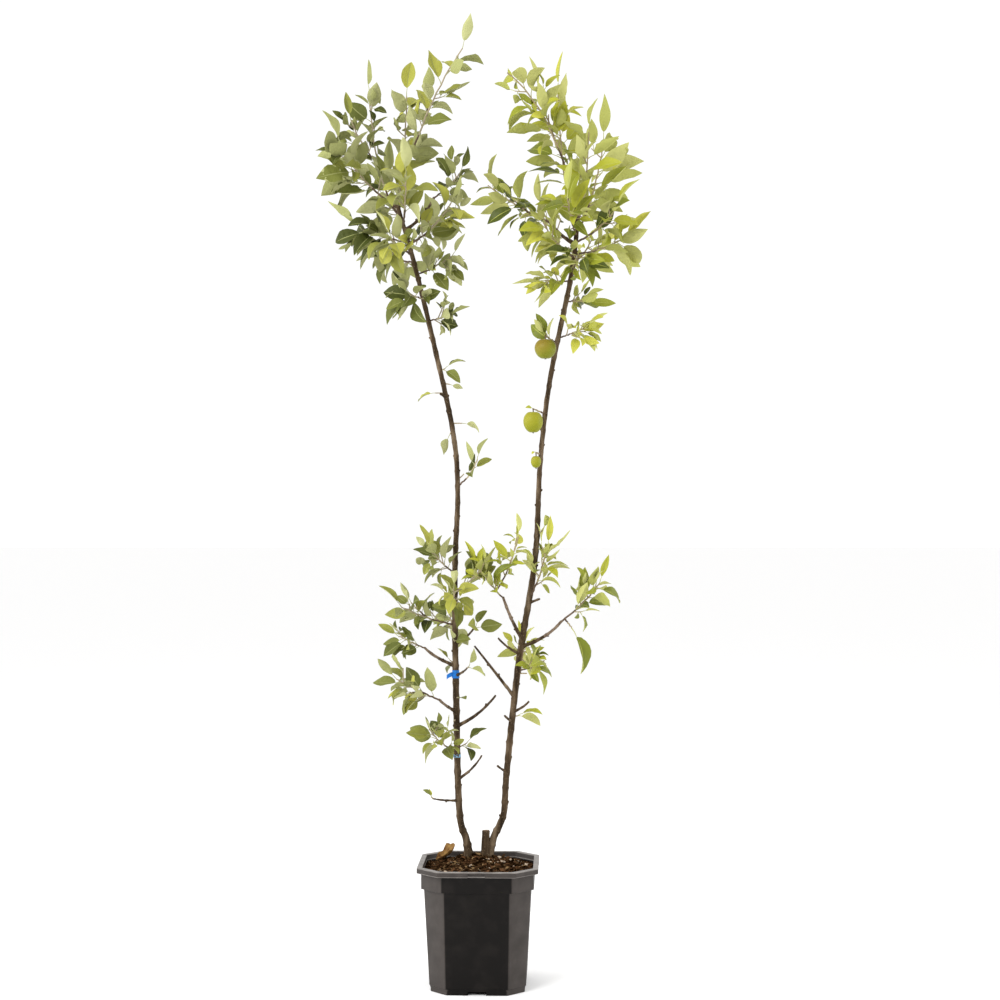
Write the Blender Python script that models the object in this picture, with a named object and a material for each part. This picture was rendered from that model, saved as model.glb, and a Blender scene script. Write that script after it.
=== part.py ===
"""A dwarf apple tree in its nursery pot: two trained stems that rise from one grafted foot.

Metres, +Z up. The origin is the centre of the pot's underside, -Y is the front and +X the
right. Each stem carries short boughs and masses of leaves. A mass is a shoot that starts
on a stem or on a bough's tip, with its side shoots, its leaves and any fruit fused on.
"""
import math
import random
from collections import namedtuple

import bmesh
import bpy
from mathutils import Matrix, Vector
from mathutils.bvhtree import BVHTree

OBJECT_NAME = "dwarf_apple_tree_in_pot"
GAP = 0.0003                  # clearance between pieces that touch in life
UP = Vector((0.0, 0.0, 1.0))

# Pot: a square tub with its four corners cut off, a collar and a turned-out lip
POT_HEIGHT = 0.251
POT_TURN = math.radians(-2.0)
POT_WALL = 0.002
FOOT_WIDTH = 0.1905           # across the flats, at the ground
FOOT_HEIGHT = 0.012
BODY_FOOT_WIDTH = 0.1955
BODY_TOP_WIDTH = 0.2170
COLLAR_BASE = 0.208
COLLAR_WIDTH = 0.2279
LIP_BASE = 0.2405
LIP_WIDTH = 0.2450
FOOT_CORNER = 0.0338          # run of a cut corner along each side, at the ground
BODY_TOP_CORNER = 0.0415
COLLAR_CORNER = 0.0422
LIP_CORNER = 0.0447
FOOT_STEP = 0.001             # height of the slope from the foot out to the body
POT_FLOOR = 0.009
FLOOR_WIDTH = BODY_FOOT_WIDTH + (BODY_TOP_WIDTH - BODY_FOOT_WIDTH) * (POT_FLOOR / COLLAR_BASE)
DRAIN_WIDTH = 0.037
DRAIN_HEIGHT = 0.007
DRAIN_DEPTH = 0.015
LIP_NOTCH_WIDTH = 0.034
LIP_TOP_PLATE = 0.003
NOTCH_OVERRUN = 0.001         # how far a notch is cut past the lip's underside

# Compost, heaped round the foot of the stems
SOIL_EDGE = 0.233
SOIL_SHOULDER = 0.247
SOIL_TOP = 0.258
SOIL_CENTRE_Y = 0.042
SOIL_TOP_WIDTH = 0.086
SOIL_TOP_DEPTH = 0.7 * SOIL_TOP_WIDTH
SOIL_TOP_CORNER = 0.020
SOIL_SHOULDER_WIDTH = 0.140
SOIL_SHOULDER_CORNER = 0.040

GROUND = SOIL_TOP + GAP

# Stems: x, y, height and radius where each one bends or changes
Station = namedtuple("Station", "x y height radius")
LEFT_STEM = (
    Station(-0.020, 0.040, 0.248, 0.0088),
    Station(-0.027, 0.040, 0.290, 0.0074),
    Station(-0.041, 0.038, 0.348, 0.0068),
    Station(-0.047, 0.030, 0.555, 0.0065),
    Station(-0.050, 0.015, 0.830, 0.0057),
    Station(-0.044, 0.010, 1.010, 0.0051),
    Station(-0.055, 0.010, 1.140, 0.0051),
    Station(-0.100, 0.005, 1.343, 0.0049),
    Station(-0.135, 0.000, 1.485, 0.0047),
    Station(-0.172, 0.000, 1.612, 0.0040),
)
RIGHT_STEM = (
    Station(0.017, 0.045, 0.248, 0.0095),
    Station(0.029, 0.045, 0.290, 0.0075),
    Station(0.043, 0.045, 0.320, 0.0069),
    Station(0.052, 0.043, 0.350, 0.0065),
    Station(0.057, 0.038, 0.430, 0.0066),
    Station(0.082, 0.020, 0.660, 0.0065),
    Station(0.115, 0.010, 0.870, 0.0060),
    Station(0.126, 0.000, 1.075, 0.0050),
    Station(0.147, 0.000, 1.247, 0.0050),
    Station(0.189, 0.000, 1.452, 0.0050),
    Station(0.204, 0.000, 1.579, 0.0039),
)
ROOTSTOCK_STUB = (
    Station(0.012, 0.040, 0.248, 0.0090),
    Station(0.013, 0.040, 0.285, 0.0082),
    Station(0.014, 0.040, 0.307, 0.0080),
)
Stem = namedtuple("Stem", "name stations stub")
STEMS = (
    Stem("left_stem", LEFT_STEM, None),
    Stem("right_stem", RIGHT_STEM, ROOTSTOCK_STUB),
)
STEM_SIDES = 8
STEM_STEPS = 2                # points to each span between two stations
BOUGH_SIDES = 6
TWIG_SIDES = 3

# A limb leaves its host at a height, towards a heading in degrees (0 right, 90 back,
# 180 left, 270 front), and ends a reach out and a rise up. A bend above 0 takes it
# outwards first, and one below 0 upwards first.
Limb = namedtuple("Limb", "name host start heading reach rise bend radius tip_radius")
SPURS = (
    Limb("high_stub", "left_stem", 1.205, 225, 0.015, 0.005, 0.0, 0.0030, 0.0022),
    Limb("low_spur_a", "left_stem", 0.695, 315, 0.055, 0.035, 0.3, 0.0030, 0.0018),
    Limb("low_spur_b", "left_stem", 0.630, 300, 0.050, 0.020, 0.3, 0.0028, 0.0018),
    Limb("low_spur_c", "left_stem", 0.415, 315, 0.070, 0.055, 0.3, 0.0030, 0.0016),
    Limb("low_spur_d", "left_stem", 0.370, 215, 0.065, 0.010, 0.4, 0.0026, 0.0016),
    Limb("spur_a", "right_stem", 0.780, 310, 0.035, 0.010, 0.0, 0.0030, 0.0020),
    Limb("spur_b", "right_stem", 0.555, 310, 0.050, 0.025, 0.3, 0.0030, 0.0020),
    Limb("spur_c", "right_stem", 0.675, 215, 0.055, 0.035, 0.3, 0.0028, 0.0018),
    Limb("spur_d", "right_stem", 0.535, 245, 0.035, 0.015, 0.2, 0.0028, 0.0020),
    Limb("spur_e", "right_stem", 0.430, 230, 0.030, 0.015, 0.2, 0.0028, 0.0020),
)
BOUGHS = (
    Limb("left_bough_high", "left_stem", 1.545, 340, 0.065, 0.065, 0.4, 0.0034, 0.0024),
    Limb("left_bough_low", "left_stem", 0.650, 205, 0.070, 0.040, 0.3, 0.0036, 0.0024),
    Limb("left_bough_lowest", "left_stem", 0.555, 235, 0.060, 0.030, 0.2, 0.0036, 0.0024),
    Limb("left_bough_bare", "left_stem", 0.525, 320, 0.105, 0.070, 0.3, 0.0038, 0.0020),
    Limb("right_bough_high", "right_stem", 1.515, 200, 0.055, 0.045, 0.3, 0.0034, 0.0024),
    Limb("right_bough_low", "right_stem", 0.690, 335, 0.090, 0.055, 0.4, 0.0038, 0.0026),
    Limb("right_bough_west", "right_stem", 0.705, 235, 0.070, 0.090, 0.2, 0.0038, 0.0026),
    Limb("right_bough_bare", "right_stem", 0.585, 215, 0.100, 0.110, 0.0, 0.0036, 0.0018),
)

# A shoot also has its bare share from the foot, its count of leaves and a leaf's length.
Shoot = namedtuple("Shoot", "name host start heading reach rise bend bare leaves leaf_length")
LEFT_SHOOTS = (
    Shoot("left_whip", "left_stem", 1.600, 345, 0.140, 0.310, -0.3, 0.25, 11, 0.060),
    Shoot("left_leader", "left_stem", 1.585, 75, 0.050, 0.245, 0.6, 0.30, 9, 0.066),
    Shoot("left_high_west", "left_stem", 1.570, 145, 0.085, 0.270, 0.7, 0.25, 12, 0.052),
    Shoot("left_west", "left_stem", 1.590, 205, 0.125, 0.120, 0.4, 0.30, 11, 0.070),
    Shoot("left_high_east", "left_bough_high", 0.0, 350, 0.055, 0.050, 0.2, 0.10, 8, 0.052),
    Shoot("left_front", "left_stem", 1.555, 275, 0.130, 0.080, 0.5, 0.25, 11, 0.062),
    Shoot("left_back", "left_stem", 1.560, 105, 0.135, 0.115, 0.5, 0.25, 11, 0.062),
    Shoot("left_back_east", "left_stem", 1.520, 65, 0.125, 0.060, 0.4, 0.25, 10, 0.060),
    Shoot("left_mid_east", "left_stem", 1.515, 320, 0.115, 0.075, 0.4, 0.25, 10, 0.060),
    Shoot("left_mid_west", "left_stem", 1.520, 190, 0.095, 0.025, 0.3, 0.25, 10, 0.068),
    Shoot("left_front_low", "left_stem", 1.495, 250, 0.105, 0.020, 0.4, 0.25, 9, 0.060),
    Shoot("left_back_low", "left_stem", 1.480, 125, 0.110, 0.025, 0.4, 0.25, 9, 0.056),
    Shoot("left_low_east", "left_stem", 1.455, 345, 0.075, 0.035, 0.2, 0.25, 9, 0.050),
    Shoot("left_fan", "left_stem", 1.405, 235, 0.045, 0.005, 0.2, 0.55, 9, 0.062),
    Shoot("left_east_spur", "left_stem", 1.360, 355, 0.040, 0.010, 0.2, 0.35, 6, 0.040),
    Shoot("left_mid_shoot", "left_stem", 1.020, 325, 0.050, 0.055, 0.4, 0.40, 5, 0.044),
    Shoot("left_low_top", "left_stem", 0.840, 225, 0.065, 0.050, 0.2, 0.25, 10, 0.046),
    Shoot("left_low_front", "left_stem", 0.775, 270, 0.105, 0.040, 0.3, 0.30, 9, 0.046),
    Shoot("left_low_back", "left_stem", 0.715, 100, 0.085, 0.045, 0.3, 0.30, 8, 0.046),
    Shoot("left_low_inner", "left_stem", 0.805, 320, 0.070, 0.045, 0.3, 0.30, 9, 0.048),
    Shoot("left_low_far", "left_stem", 0.735, 205, 0.120, 0.040, 0.3, 0.35, 9, 0.046),
    Shoot("left_low_west", "left_bough_low", 0.0, 190, 0.055, 0.025, 0.0, 0.15, 8, 0.044),
    Shoot("left_lowest_west", "left_bough_lowest", 0.0, 195, 0.090, 0.045, 0.1, 0.10, 11, 0.050),
    Shoot("left_lowest", "left_stem", 0.470, 225, 0.080, 0.055, 0.3, 0.35, 9, 0.046),
)
RIGHT_SHOOTS = (
    Shoot("right_far", "right_stem", 1.560, 195, 0.150, 0.300, -0.6, 0.20, 14, 0.070),
    Shoot("right_top", "right_stem", 1.555, 130, 0.060, 0.285, 0.7, 0.30, 10, 0.068),
    Shoot("right_inner", "right_stem", 1.560, 290, 0.060, 0.175, 0.7, 0.30, 9, 0.062),
    Shoot("right_high_east", "right_stem", 1.540, 0, 0.055, 0.185, 0.4, 0.30, 10, 0.080),
    Shoot("right_front", "right_stem", 1.535, 260, 0.130, 0.055, 0.5, 0.25, 11, 0.062),
    Shoot("right_back", "right_stem", 1.545, 85, 0.135, 0.110, 0.5, 0.25, 11, 0.064),
    Shoot("right_back_west", "right_stem", 1.520, 125, 0.120, 0.085, 0.4, 0.25, 10, 0.062),
    Shoot("right_west", "right_bough_high", 0.0, 185, 0.130, 0.075, 0.2, 0.08, 13, 0.062),
    Shoot("right_mid_west", "right_stem", 1.490, 230, 0.100, 0.060, 0.4, 0.25, 10, 0.064),
    Shoot("right_mid_east", "right_stem", 1.520, 325, 0.095, 0.060, 0.4, 0.25, 10, 0.062),
    Shoot("right_low_east", "right_stem", 1.495, 10, 0.100, 0.035, 0.4, 0.30, 9, 0.072),
    Shoot("right_front_low", "right_stem", 1.470, 275, 0.095, 0.015, 0.3, 0.25, 9, 0.062),
    Shoot("right_back_low", "right_stem", 1.480, 70, 0.115, 0.055, 0.4, 0.25, 9, 0.062),
    Shoot("right_low_west", "right_stem", 1.440, 200, 0.055, 0.000, 0.2, 0.35, 9, 0.058),
    Shoot("right_east_spur", "right_stem", 1.400, 5, 0.035, 0.000, 0.0, 0.45, 6, 0.056),
    Shoot("right_spur", "right_stem", 1.325, 350, 0.055, 0.020, 0.2, 0.45, 7, 0.062),
    Shoot("right_apple_high", "right_stem", 1.315, 235, 0.045, 0.012, 0.3, 0.30, 5, 0.044),
    Shoot("right_apple_mid", "right_stem", 1.170, 230, 0.040, 0.008, 0.2, 0.60, 1, 0.020),
    Shoot("right_apple_low", "right_stem", 1.085, 250, 0.032, 0.004, 0.0, 0.60, 1, 0.016),
    Shoot("right_shoot_top", "right_stem", 0.785, 320, 0.050, 0.110, 0.2, 0.35, 10, 0.054),
    Shoot("right_shoot_far", "right_bough_low", 0.0, 0, 0.080, 0.080, 0.2, 0.25, 10, 0.054),
    Shoot("right_shoot_west", "right_bough_west", 0.0, 190, 0.055, 0.065, 0.1, 0.10, 10, 0.050),
    Shoot("right_shoot_hanging", "right_stem", 0.640, 320, 0.070, 0.025, 0.4, 0.40, 6, 0.054),
    Shoot("right_shoot_back", "right_stem", 0.660, 80, 0.075, 0.030, 0.3, 0.35, 8, 0.048),
)

# A side shoot starts at a share of its mass's stem.
Fork = namedtuple("Fork", "mass share heading reach rise bend leaves leaf_length")
FORKS = (
    Fork("left_high_west", 0.45, 200, 0.060, 0.090, 0.3, 6, 0.052),
    Fork("left_west", 0.45, 150, 0.050, 0.060, 0.2, 4, 0.060),
    Fork("left_whip", 0.55, 90, 0.040, 0.050, 0.2, 3, 0.048),
    Fork("right_far", 0.45, 170, 0.040, 0.120, 0.1, 6, 0.062),
    Fork("right_west", 0.45, 250, 0.045, 0.010, 0.2, 4, 0.058),
    Fork("right_shoot_far", 0.10, 325, 0.016, -0.018, 0.0, 1, 0.074),
    Fork("right_shoot_west", 0.25, 350, 0.045, 0.110, 0.3, 6, 0.044),
    Fork("left_low_far", 0.50, 150, 0.040, 0.030, 0.2, 4, 0.044),
    Fork("left_lowest_west", 0.45, 240, 0.040, 0.000, 0.2, 4, 0.046),
)

# A fruit hangs from the end of its mass's stem.
Fruit = namedtuple("Fruit", "mass width height drop")
FRUITS = (
    Fruit("right_apple_high", 0.044, 0.043, 0.010),
    Fruit("right_apple_mid", 0.040, 0.046, 0.008),
    Fruit("right_apple_low", 0.021, 0.026, 0.010),
)

FRUIT_SIDES = 8
FRUIT_RINGS = 6
FRUIT_DIMPLE = 0.004          # how deep a fruit's stalk is sunk in it
FRUIT_STALK_ROOT = 0.002      # how deep the same stalk is sunk in its spur
FRUIT_STALK_RADII = (0.0015, 0.0013)

# Shoots
SHOOT_RADIUS = 0.0023
SHOOT_TIP_RADIUS = 0.0013
SHORT_SHOOT = 0.10            # a shoot under this length is thinner and has fewer points
SHORT_SHOOT_RADIUS = 0.0019
SHORT_STEPS = 3
LONG_STEPS = 5
KNEE_SHIFT = 0.4              # how far a full bend moves an arc's knee from its middle
BOUGH_OVERLAP = 0.003         # how far inside a bough's tip a mass's stem starts
FORK_BARE = 0.25

# Leaves
STALK_RADIUS = 0.0008
STALK_FOOT = 0.0009           # the stalk's depth where it is sunk in its twig
STALK_FOOT_HALF = 0.6 * STALK_FOOT
STALK_FOOT_RISE = 0.4 * STALK_FOOT
STALK_SHARE = 0.28            # a leaf's stalk to its blade
LEAF_WIDTH = 0.66             # a blade's width to its length
LEAF_BELLY = 0.45             # where along the blade it is widest
LEAF_CENTRE = 0.6             # where the middle of a leaf lies, to its blade
LEAF_NEAR = 0.8               # leaves further apart than this, to their blades, can't meet
LEAF_KEEL = 0.0011
LEAF_DROOP = 0.10

# How leaves stand on a shoot
GOLDEN_ANGLE = math.radians(137.5)
LEAN = (48.0, 74.0)           # degrees a leaf leans out from its shoot
TIP_LEAN_LOSS = 0.30          # how much less it leans at the shoot's tip
LEAF_SAG = 0.8
LAST_LEAF_SIDE = 0.15         # how far the leaf at the tip leans to one side
FACE_FORWARD = 0.5            # how far an upper side turns to the shoot's tip
FACE_BACK = 0.4               # and how far it turns back to the shoot
LEAF_ROLL = 70.0              # degrees a blade may turn about its own length
BLADE_SPREAD = (0.84, 1.12)
LEAF_STAGGER = 0.4
LEAF_TRIES = 14
TRY_SHRINK = 0.985
TRY_TURN = (0.4, 1.2)
GUARD = 0.0008                # clear space kept round leaves and twigs
STEM_SAMPLES = (0.3, 0.5, 0.7, 0.9, 1.0)
CROWN_TOP = 1.994
CROWN_LEFT = -0.335
CROWN_RIGHT = 0.362
CROWN_DEPTH = 0.250

# Joining
WELD = 0.00001
CUT_WELD = 0.000001
FUSE_TRIES = (("EXACT", 0.000002), ("EXACT", 0.0), ("MANIFOLD", 0.000002), ("MANIFOLD", 0.0))

Kit = namedtuple("Kit", "collection cutters helpers section")
Leaf = namedtuple("Leaf", "root along face blade")
Path = namedtuple("Path", "points radii")
Twig = namedtuple("Twig", "path bare leaves leaf_length")


def clear_scene():
    for item in list(bpy.data.objects):
        bpy.data.objects.remove(item, do_unlink=True)


def new_collection(name):
    collection = bpy.data.collections.new(name)
    bpy.context.scene.collection.children.link(collection)
    return collection


def remove_collection(collection):
    for item in list(collection.objects):
        bpy.data.objects.remove(item, do_unlink=True)
    bpy.data.collections.remove(collection)


def finish(name, colour, roughness, metallic=0.0):
    """A plain material for one piece."""
    material = bpy.data.materials.new(name)
    material.use_nodes = True
    shader = material.node_tree.nodes["Principled BSDF"]
    shader.inputs["Base Color"].default_value = (*colour, 1.0)
    shader.inputs["Roughness"].default_value = roughness
    shader.inputs["Metallic"].default_value = metallic
    return material


def pot_finish(name):
    return finish(name, (0.020, 0.018, 0.017), 0.45)


def soil_finish(name):
    return finish(name, (0.060, 0.035, 0.022), 0.95)


def bark_finish(name):
    return finish(name, (0.110, 0.075, 0.050), 0.80)


def left_leaf_finish(name):
    return finish(name, (0.150, 0.200, 0.085), 0.60)


def right_leaf_finish(name):
    return finish(name, (0.300, 0.400, 0.060), 0.50)


def add_object(name, mesh, collection, material=None):
    item = bpy.data.objects.new(name, mesh)
    collection.objects.link(item)
    if material:
        mesh.materials.append(material)
    return item


def mesh_from(shape, name):
    """The mesh of a bmesh, with its faces turned out."""
    bmesh.ops.recalc_face_normals(shape, faces=shape.faces)
    mesh = bpy.data.meshes.new(name)
    shape.to_mesh(mesh)
    shape.free()
    return mesh


def ring_stack(rings, tip=None):
    """A closed skin over like rings of points, drawn out from ring to ring."""
    shape = bmesh.new()
    ring = [shape.verts.new(point) for point in rings[0]]
    face = shape.faces.new(ring)
    for level, points in enumerate(rings[1:] + ([[tip] * len(ring)] if tip else [])):
        drawn = bmesh.ops.extrude_face_region(shape, geom=[face])["geom"]
        if level:
            bmesh.ops.delete(shape, geom=[face], context="FACES_ONLY")
        face = next(part for part in drawn if isinstance(part, bmesh.types.BMFace))
        fresh = set(face.verts)
        ring = [
            next(edge.other_vert(vert) for edge in vert.link_edges if edge.other_vert(vert) in fresh)
            for vert in ring
        ]
        for vert, point in zip(ring, points):
            vert.co = point
    if tip:
        bmesh.ops.pointmerge(shape, verts=ring, merge_co=tip)
    return shape


def box(size, centre, turn):
    """A block for cutting, turned about the pot's axis."""
    shape = bmesh.new()
    bmesh.ops.create_cube(shape, size=1.0)
    place = Matrix.Rotation(turn, 4, "Z") @ Matrix.Translation(centre) @ Matrix.Diagonal((*size, 1.0))
    bmesh.ops.transform(shape, matrix=place, verts=shape.verts)
    return shape


def add_cutter(name, shape, cutters):
    cutter = add_object(name, mesh_from(shape, name), cutters)
    cutter.hide_render = True
    cutter.display_type = "WIRE"
    return cutter


def boolean(item, operation, other):
    """A Boolean with another object, or with all the objects of a collection."""
    modifier = item.modifiers.new(operation.lower(), "BOOLEAN")
    modifier.operation = operation
    modifier.solver = "EXACT"
    if isinstance(other, bpy.types.Collection):
        modifier.operand_type = "COLLECTION"
        modifier.collection = other
    else:
        modifier.object = other


def applied_mesh(item):
    evaluated = item.evaluated_get(bpy.context.evaluated_depsgraph_get())
    return bpy.data.meshes.new_from_object(evaluated)


def signed_volume(faces):
    total = 0.0
    for face in faces:
        first = face.verts[0].co
        for here, after in zip(face.verts[1:], face.verts[2:]):
            total += first.dot(here.co.cross(after.co)) / 6.0
    return total


def bodies(shape):
    """The faces of a bmesh, sorted into bodies that don't touch."""
    left = set(shape.faces)
    found = []
    while left:
        stack = [left.pop()]
        body = []
        while stack:
            face = stack.pop()
            body.append(face)
            near = {other for edge in face.edges for other in edge.link_faces} & left
            left -= near
            stack.extend(near)
        found.append(body)
    return found


def tidy_union(mesh, name, merge_distance):
    """The largest body of a joined mesh: loose scraps go and sealed hollows fill."""
    shape = bmesh.new()
    shape.from_mesh(mesh)
    if merge_distance:
        bmesh.ops.remove_doubles(shape, verts=shape.verts, dist=merge_distance)
        bmesh.ops.dissolve_degenerate(shape, edges=shape.edges, dist=merge_distance)
    found = sorted(bodies(shape), key=signed_volume)
    spare = [face for body in found[:-1] for face in body]
    bmesh.ops.delete(shape, geom=spare, context="FACES")
    is_closed = all(edge.is_manifold for edge in shape.edges)
    return mesh_from(shape, name), is_closed


def fuse(item, others, cutter=None):
    """Joins an object with others by one union, and cuts it clear of its host."""
    for entry in others:
        boolean(item, "UNION", entry)
    if cutter:
        boolean(item, "DIFFERENCE", cutter)
    material = item.data.materials[0]
    for solver, merge_distance in FUSE_TRIES:
        for modifier in item.modifiers:
            modifier.solver = solver
        joined = applied_mesh(item)
        mesh, is_closed = tidy_union(joined, item.name, merge_distance)
        bpy.data.meshes.remove(joined)
        if is_closed:
            break
    item.modifiers.clear()
    item.data = mesh
    mesh.materials.append(material)


def octagon(width, corner, height, centre_y=0.0, depth=None, turn=POT_TURN):
    """A square ring of points with its four corners cut off."""
    half = width / 2.0
    half_depth = (depth or width) / 2.0
    ring = []
    for side_x, side_y in ((1, -1), (1, 1), (-1, 1), (-1, -1)):
        along_x = Vector((side_x * (half - corner), side_y * half_depth, height))
        along_y = Vector((side_x * half, side_y * (half_depth - corner), height))
        ring.extend([along_x, along_y] if side_x * side_y < 0 else [along_y, along_x])
    place = Matrix.Rotation(turn, 4, "Z") @ Matrix.Translation((0.0, centre_y, 0.0))
    return [place @ point for point in ring]


def inset(width, corner, wall):
    """The octagon that lies a wall's thickness inside another."""
    return width - 2.0 * wall, corner - (2.0 - math.sqrt(2.0)) * wall


def make_pot(kit):
    """A moulded shell: foot, tapering body, collar and turned-out lip, then the inside down."""
    ledge = COLLAR_BASE + POT_WALL
    rings = [
        octagon(FOOT_WIDTH, FOOT_CORNER, 0.0),
        octagon(FOOT_WIDTH, FOOT_CORNER, FOOT_HEIGHT),
        octagon(BODY_FOOT_WIDTH, FOOT_CORNER, FOOT_HEIGHT + FOOT_STEP),
        octagon(BODY_TOP_WIDTH, BODY_TOP_CORNER, COLLAR_BASE),
        octagon(COLLAR_WIDTH, COLLAR_CORNER, COLLAR_BASE),
        octagon(COLLAR_WIDTH, COLLAR_CORNER, LIP_BASE),
        octagon(LIP_WIDTH, LIP_CORNER, LIP_BASE),
        octagon(LIP_WIDTH, LIP_CORNER, POT_HEIGHT),
        octagon(*inset(COLLAR_WIDTH, COLLAR_CORNER, POT_WALL), POT_HEIGHT),
        octagon(*inset(COLLAR_WIDTH, COLLAR_CORNER, POT_WALL), ledge),
        octagon(*inset(BODY_TOP_WIDTH, BODY_TOP_CORNER, POT_WALL), ledge),
        octagon(*inset(FLOOR_WIDTH, FOOT_CORNER, POT_WALL), POT_FLOOR),
    ]
    mesh = mesh_from(ring_stack(rings), "pot")
    pot = add_object("pot", mesh, kit.collection, pot_finish("pot"))
    drain_size = (DRAIN_WIDTH, 2.0 * DRAIN_DEPTH, 2.0 * DRAIN_HEIGHT)
    notch_base = LIP_BASE - NOTCH_OVERRUN
    notch_top = POT_HEIGHT - LIP_TOP_PLATE
    notch_size = (LIP_NOTCH_WIDTH, 2.0 * (LIP_WIDTH - COLLAR_WIDTH), notch_top - notch_base)
    notch_y = -COLLAR_WIDTH / 2.0 - notch_size[1] / 2.0 - GAP
    for side in range(4):
        turn = POT_TURN + side * math.pi / 2.0
        drain = box(drain_size, (0.0, -FOOT_WIDTH / 2.0, 0.0), turn)
        notch = box(notch_size, (0.0, notch_y, (notch_base + notch_top) / 2.0), turn)
        boolean(pot, "DIFFERENCE", add_cutter(f"drain_{side}", drain, kit.cutters))
        boolean(pot, "DIFFERENCE", add_cutter(f"lip_notch_{side}", notch, kit.cutters))


def make_soil(kit):
    """The filled inside of the pot: a plug of compost with a low heap round the stems."""
    ledge = COLLAR_BASE + POT_WALL + GAP
    clear_wall = POT_WALL + GAP
    shoulder_y = SOIL_CENTRE_Y / 2.0
    rings = [
        octagon(*inset(FLOOR_WIDTH, FOOT_CORNER, clear_wall), POT_FLOOR + GAP),
        octagon(*inset(BODY_TOP_WIDTH, BODY_TOP_CORNER, clear_wall), ledge),
        octagon(*inset(COLLAR_WIDTH, COLLAR_CORNER, clear_wall), ledge),
        octagon(*inset(COLLAR_WIDTH, COLLAR_CORNER, clear_wall), SOIL_EDGE),
        octagon(SOIL_SHOULDER_WIDTH, SOIL_SHOULDER_CORNER, SOIL_SHOULDER, shoulder_y),
        octagon(SOIL_TOP_WIDTH, SOIL_TOP_CORNER, SOIL_TOP, SOIL_CENTRE_Y, SOIL_TOP_DEPTH),
    ]
    add_object("soil", mesh_from(ring_stack(rings), "soil"), kit.collection, soil_finish("soil"))


def smooth_path(stations, steps):
    """Points and radii along a curve that passes through every station."""
    rows = [Vector(station) for station in stations]
    rows = [rows[0] * 2.0 - rows[1]] + rows + [rows[-1] * 2.0 - rows[-2]]
    smooth = []
    for before, here, there, after in zip(rows, rows[1:], rows[2:], rows[3:]):
        for step in range(steps):
            t = step / steps
            smooth.append(0.5 * (
                2.0 * here
                + (there - before) * t
                + (2.0 * before - 5.0 * here + 4.0 * there - after) * t ** 2
                + (3.0 * here - before - 3.0 * there + after) * t ** 3
            ))
    smooth.append(rows[-2])
    return Path([row.xyz for row in smooth], [row.w for row in smooth])


def arc_path(start, limb, radius, tip_radius):
    """A tapering arc from a start to the limb's reach and rise."""
    heading = math.radians(limb.heading)
    out = Vector((math.cos(heading), math.sin(heading), 0.0)) * limb.reach
    lift = UP * limb.rise
    shift = KNEE_SHIFT * limb.bend
    knee = start + out * (0.5 + shift) + lift * (0.5 - shift)
    end = start + out + lift
    steps = SHORT_STEPS if (out + lift).length < SHORT_SHOOT else LONG_STEPS
    shares = [step / steps for step in range(steps + 1)]
    points = [start * (1 - t) ** 2 + knee * 2 * t * (1 - t) + end * t ** 2 for t in shares]
    return Path(points, [radius + (tip_radius - radius) * t for t in shares])


def grown(path, extra, longer=0.0):
    """A path's guard: thicker all round and longer at its tip."""
    tip_way = (path.points[-1] - path.points[-2]).normalized()
    points = path.points[:-1] + [path.points[-1] + tip_way * longer]
    return Path(points, [radius + extra for radius in path.radii])


def point_at_height(path, height):
    for low, high in zip(path.points, path.points[1:]):
        if low.z <= height <= high.z:
            return low.lerp(high, (height - low.z) / (high.z - low.z))
    return path.points[-1].copy()


def point_along(path, share):
    """The place and the direction at a share of a path's length."""
    lengths = [(b - a).length for a, b in zip(path.points, path.points[1:])]
    left = min(max(share, 0.0), 0.999) * sum(lengths)
    for index, length in enumerate(lengths):
        if left <= length:
            break
        left -= length
    start, end = path.points[index:index + 2]
    return start.lerp(end, left / lengths[index]), (end - start).normalized()


def make_profile(collection):
    """The three-sided section of a twig."""
    curve = bpy.data.curves.new("twig_section", "CURVE")
    curve.dimensions = "2D"
    spline = curve.splines.new("POLY")
    spline.points.add(2)
    for index, point in enumerate(spline.points):
        turn = index * math.tau / 3.0
        point.co = (math.cos(turn), math.sin(turn), 0.0, 1.0)
    spline.use_cyclic_u = True
    return add_object("twig_section", curve, collection)


def tube(path, sides, kit):
    """A limb of round or three-sided section along a path, with flat ends."""
    curve = bpy.data.curves.new("limb", "CURVE")
    curve.dimensions = "3D"
    curve.use_fill_caps = True
    if sides == TWIG_SIDES:
        curve.bevel_mode = "OBJECT"
        curve.bevel_object = kit.section
    else:
        curve.bevel_depth = 1.0
        curve.bevel_resolution = sides // 2 - 2
    spline = curve.splines.new("POLY")
    spline.points.add(len(path.points) - 1)
    for point, place, radius in zip(spline.points, path.points, path.radii):
        point.co = (*place, 1.0)
        point.radius = radius
    holder = add_object("limb", curve, kit.helpers)
    mesh = applied_mesh(holder)
    bpy.data.objects.remove(holder, do_unlink=True)
    shape = bmesh.new()
    shape.from_mesh(mesh)
    bpy.data.meshes.remove(mesh)
    bmesh.ops.remove_doubles(shape, verts=shape.verts, dist=WELD)
    bmesh.ops.recalc_face_normals(shape, faces=shape.faces)
    return shape


def wedge(centre, side, face, half_width, keel):
    """A three-cornered section: flat on the upper side, with a keel below."""
    return [centre - side * half_width, centre + side * half_width, centre - face * keel]


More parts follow.
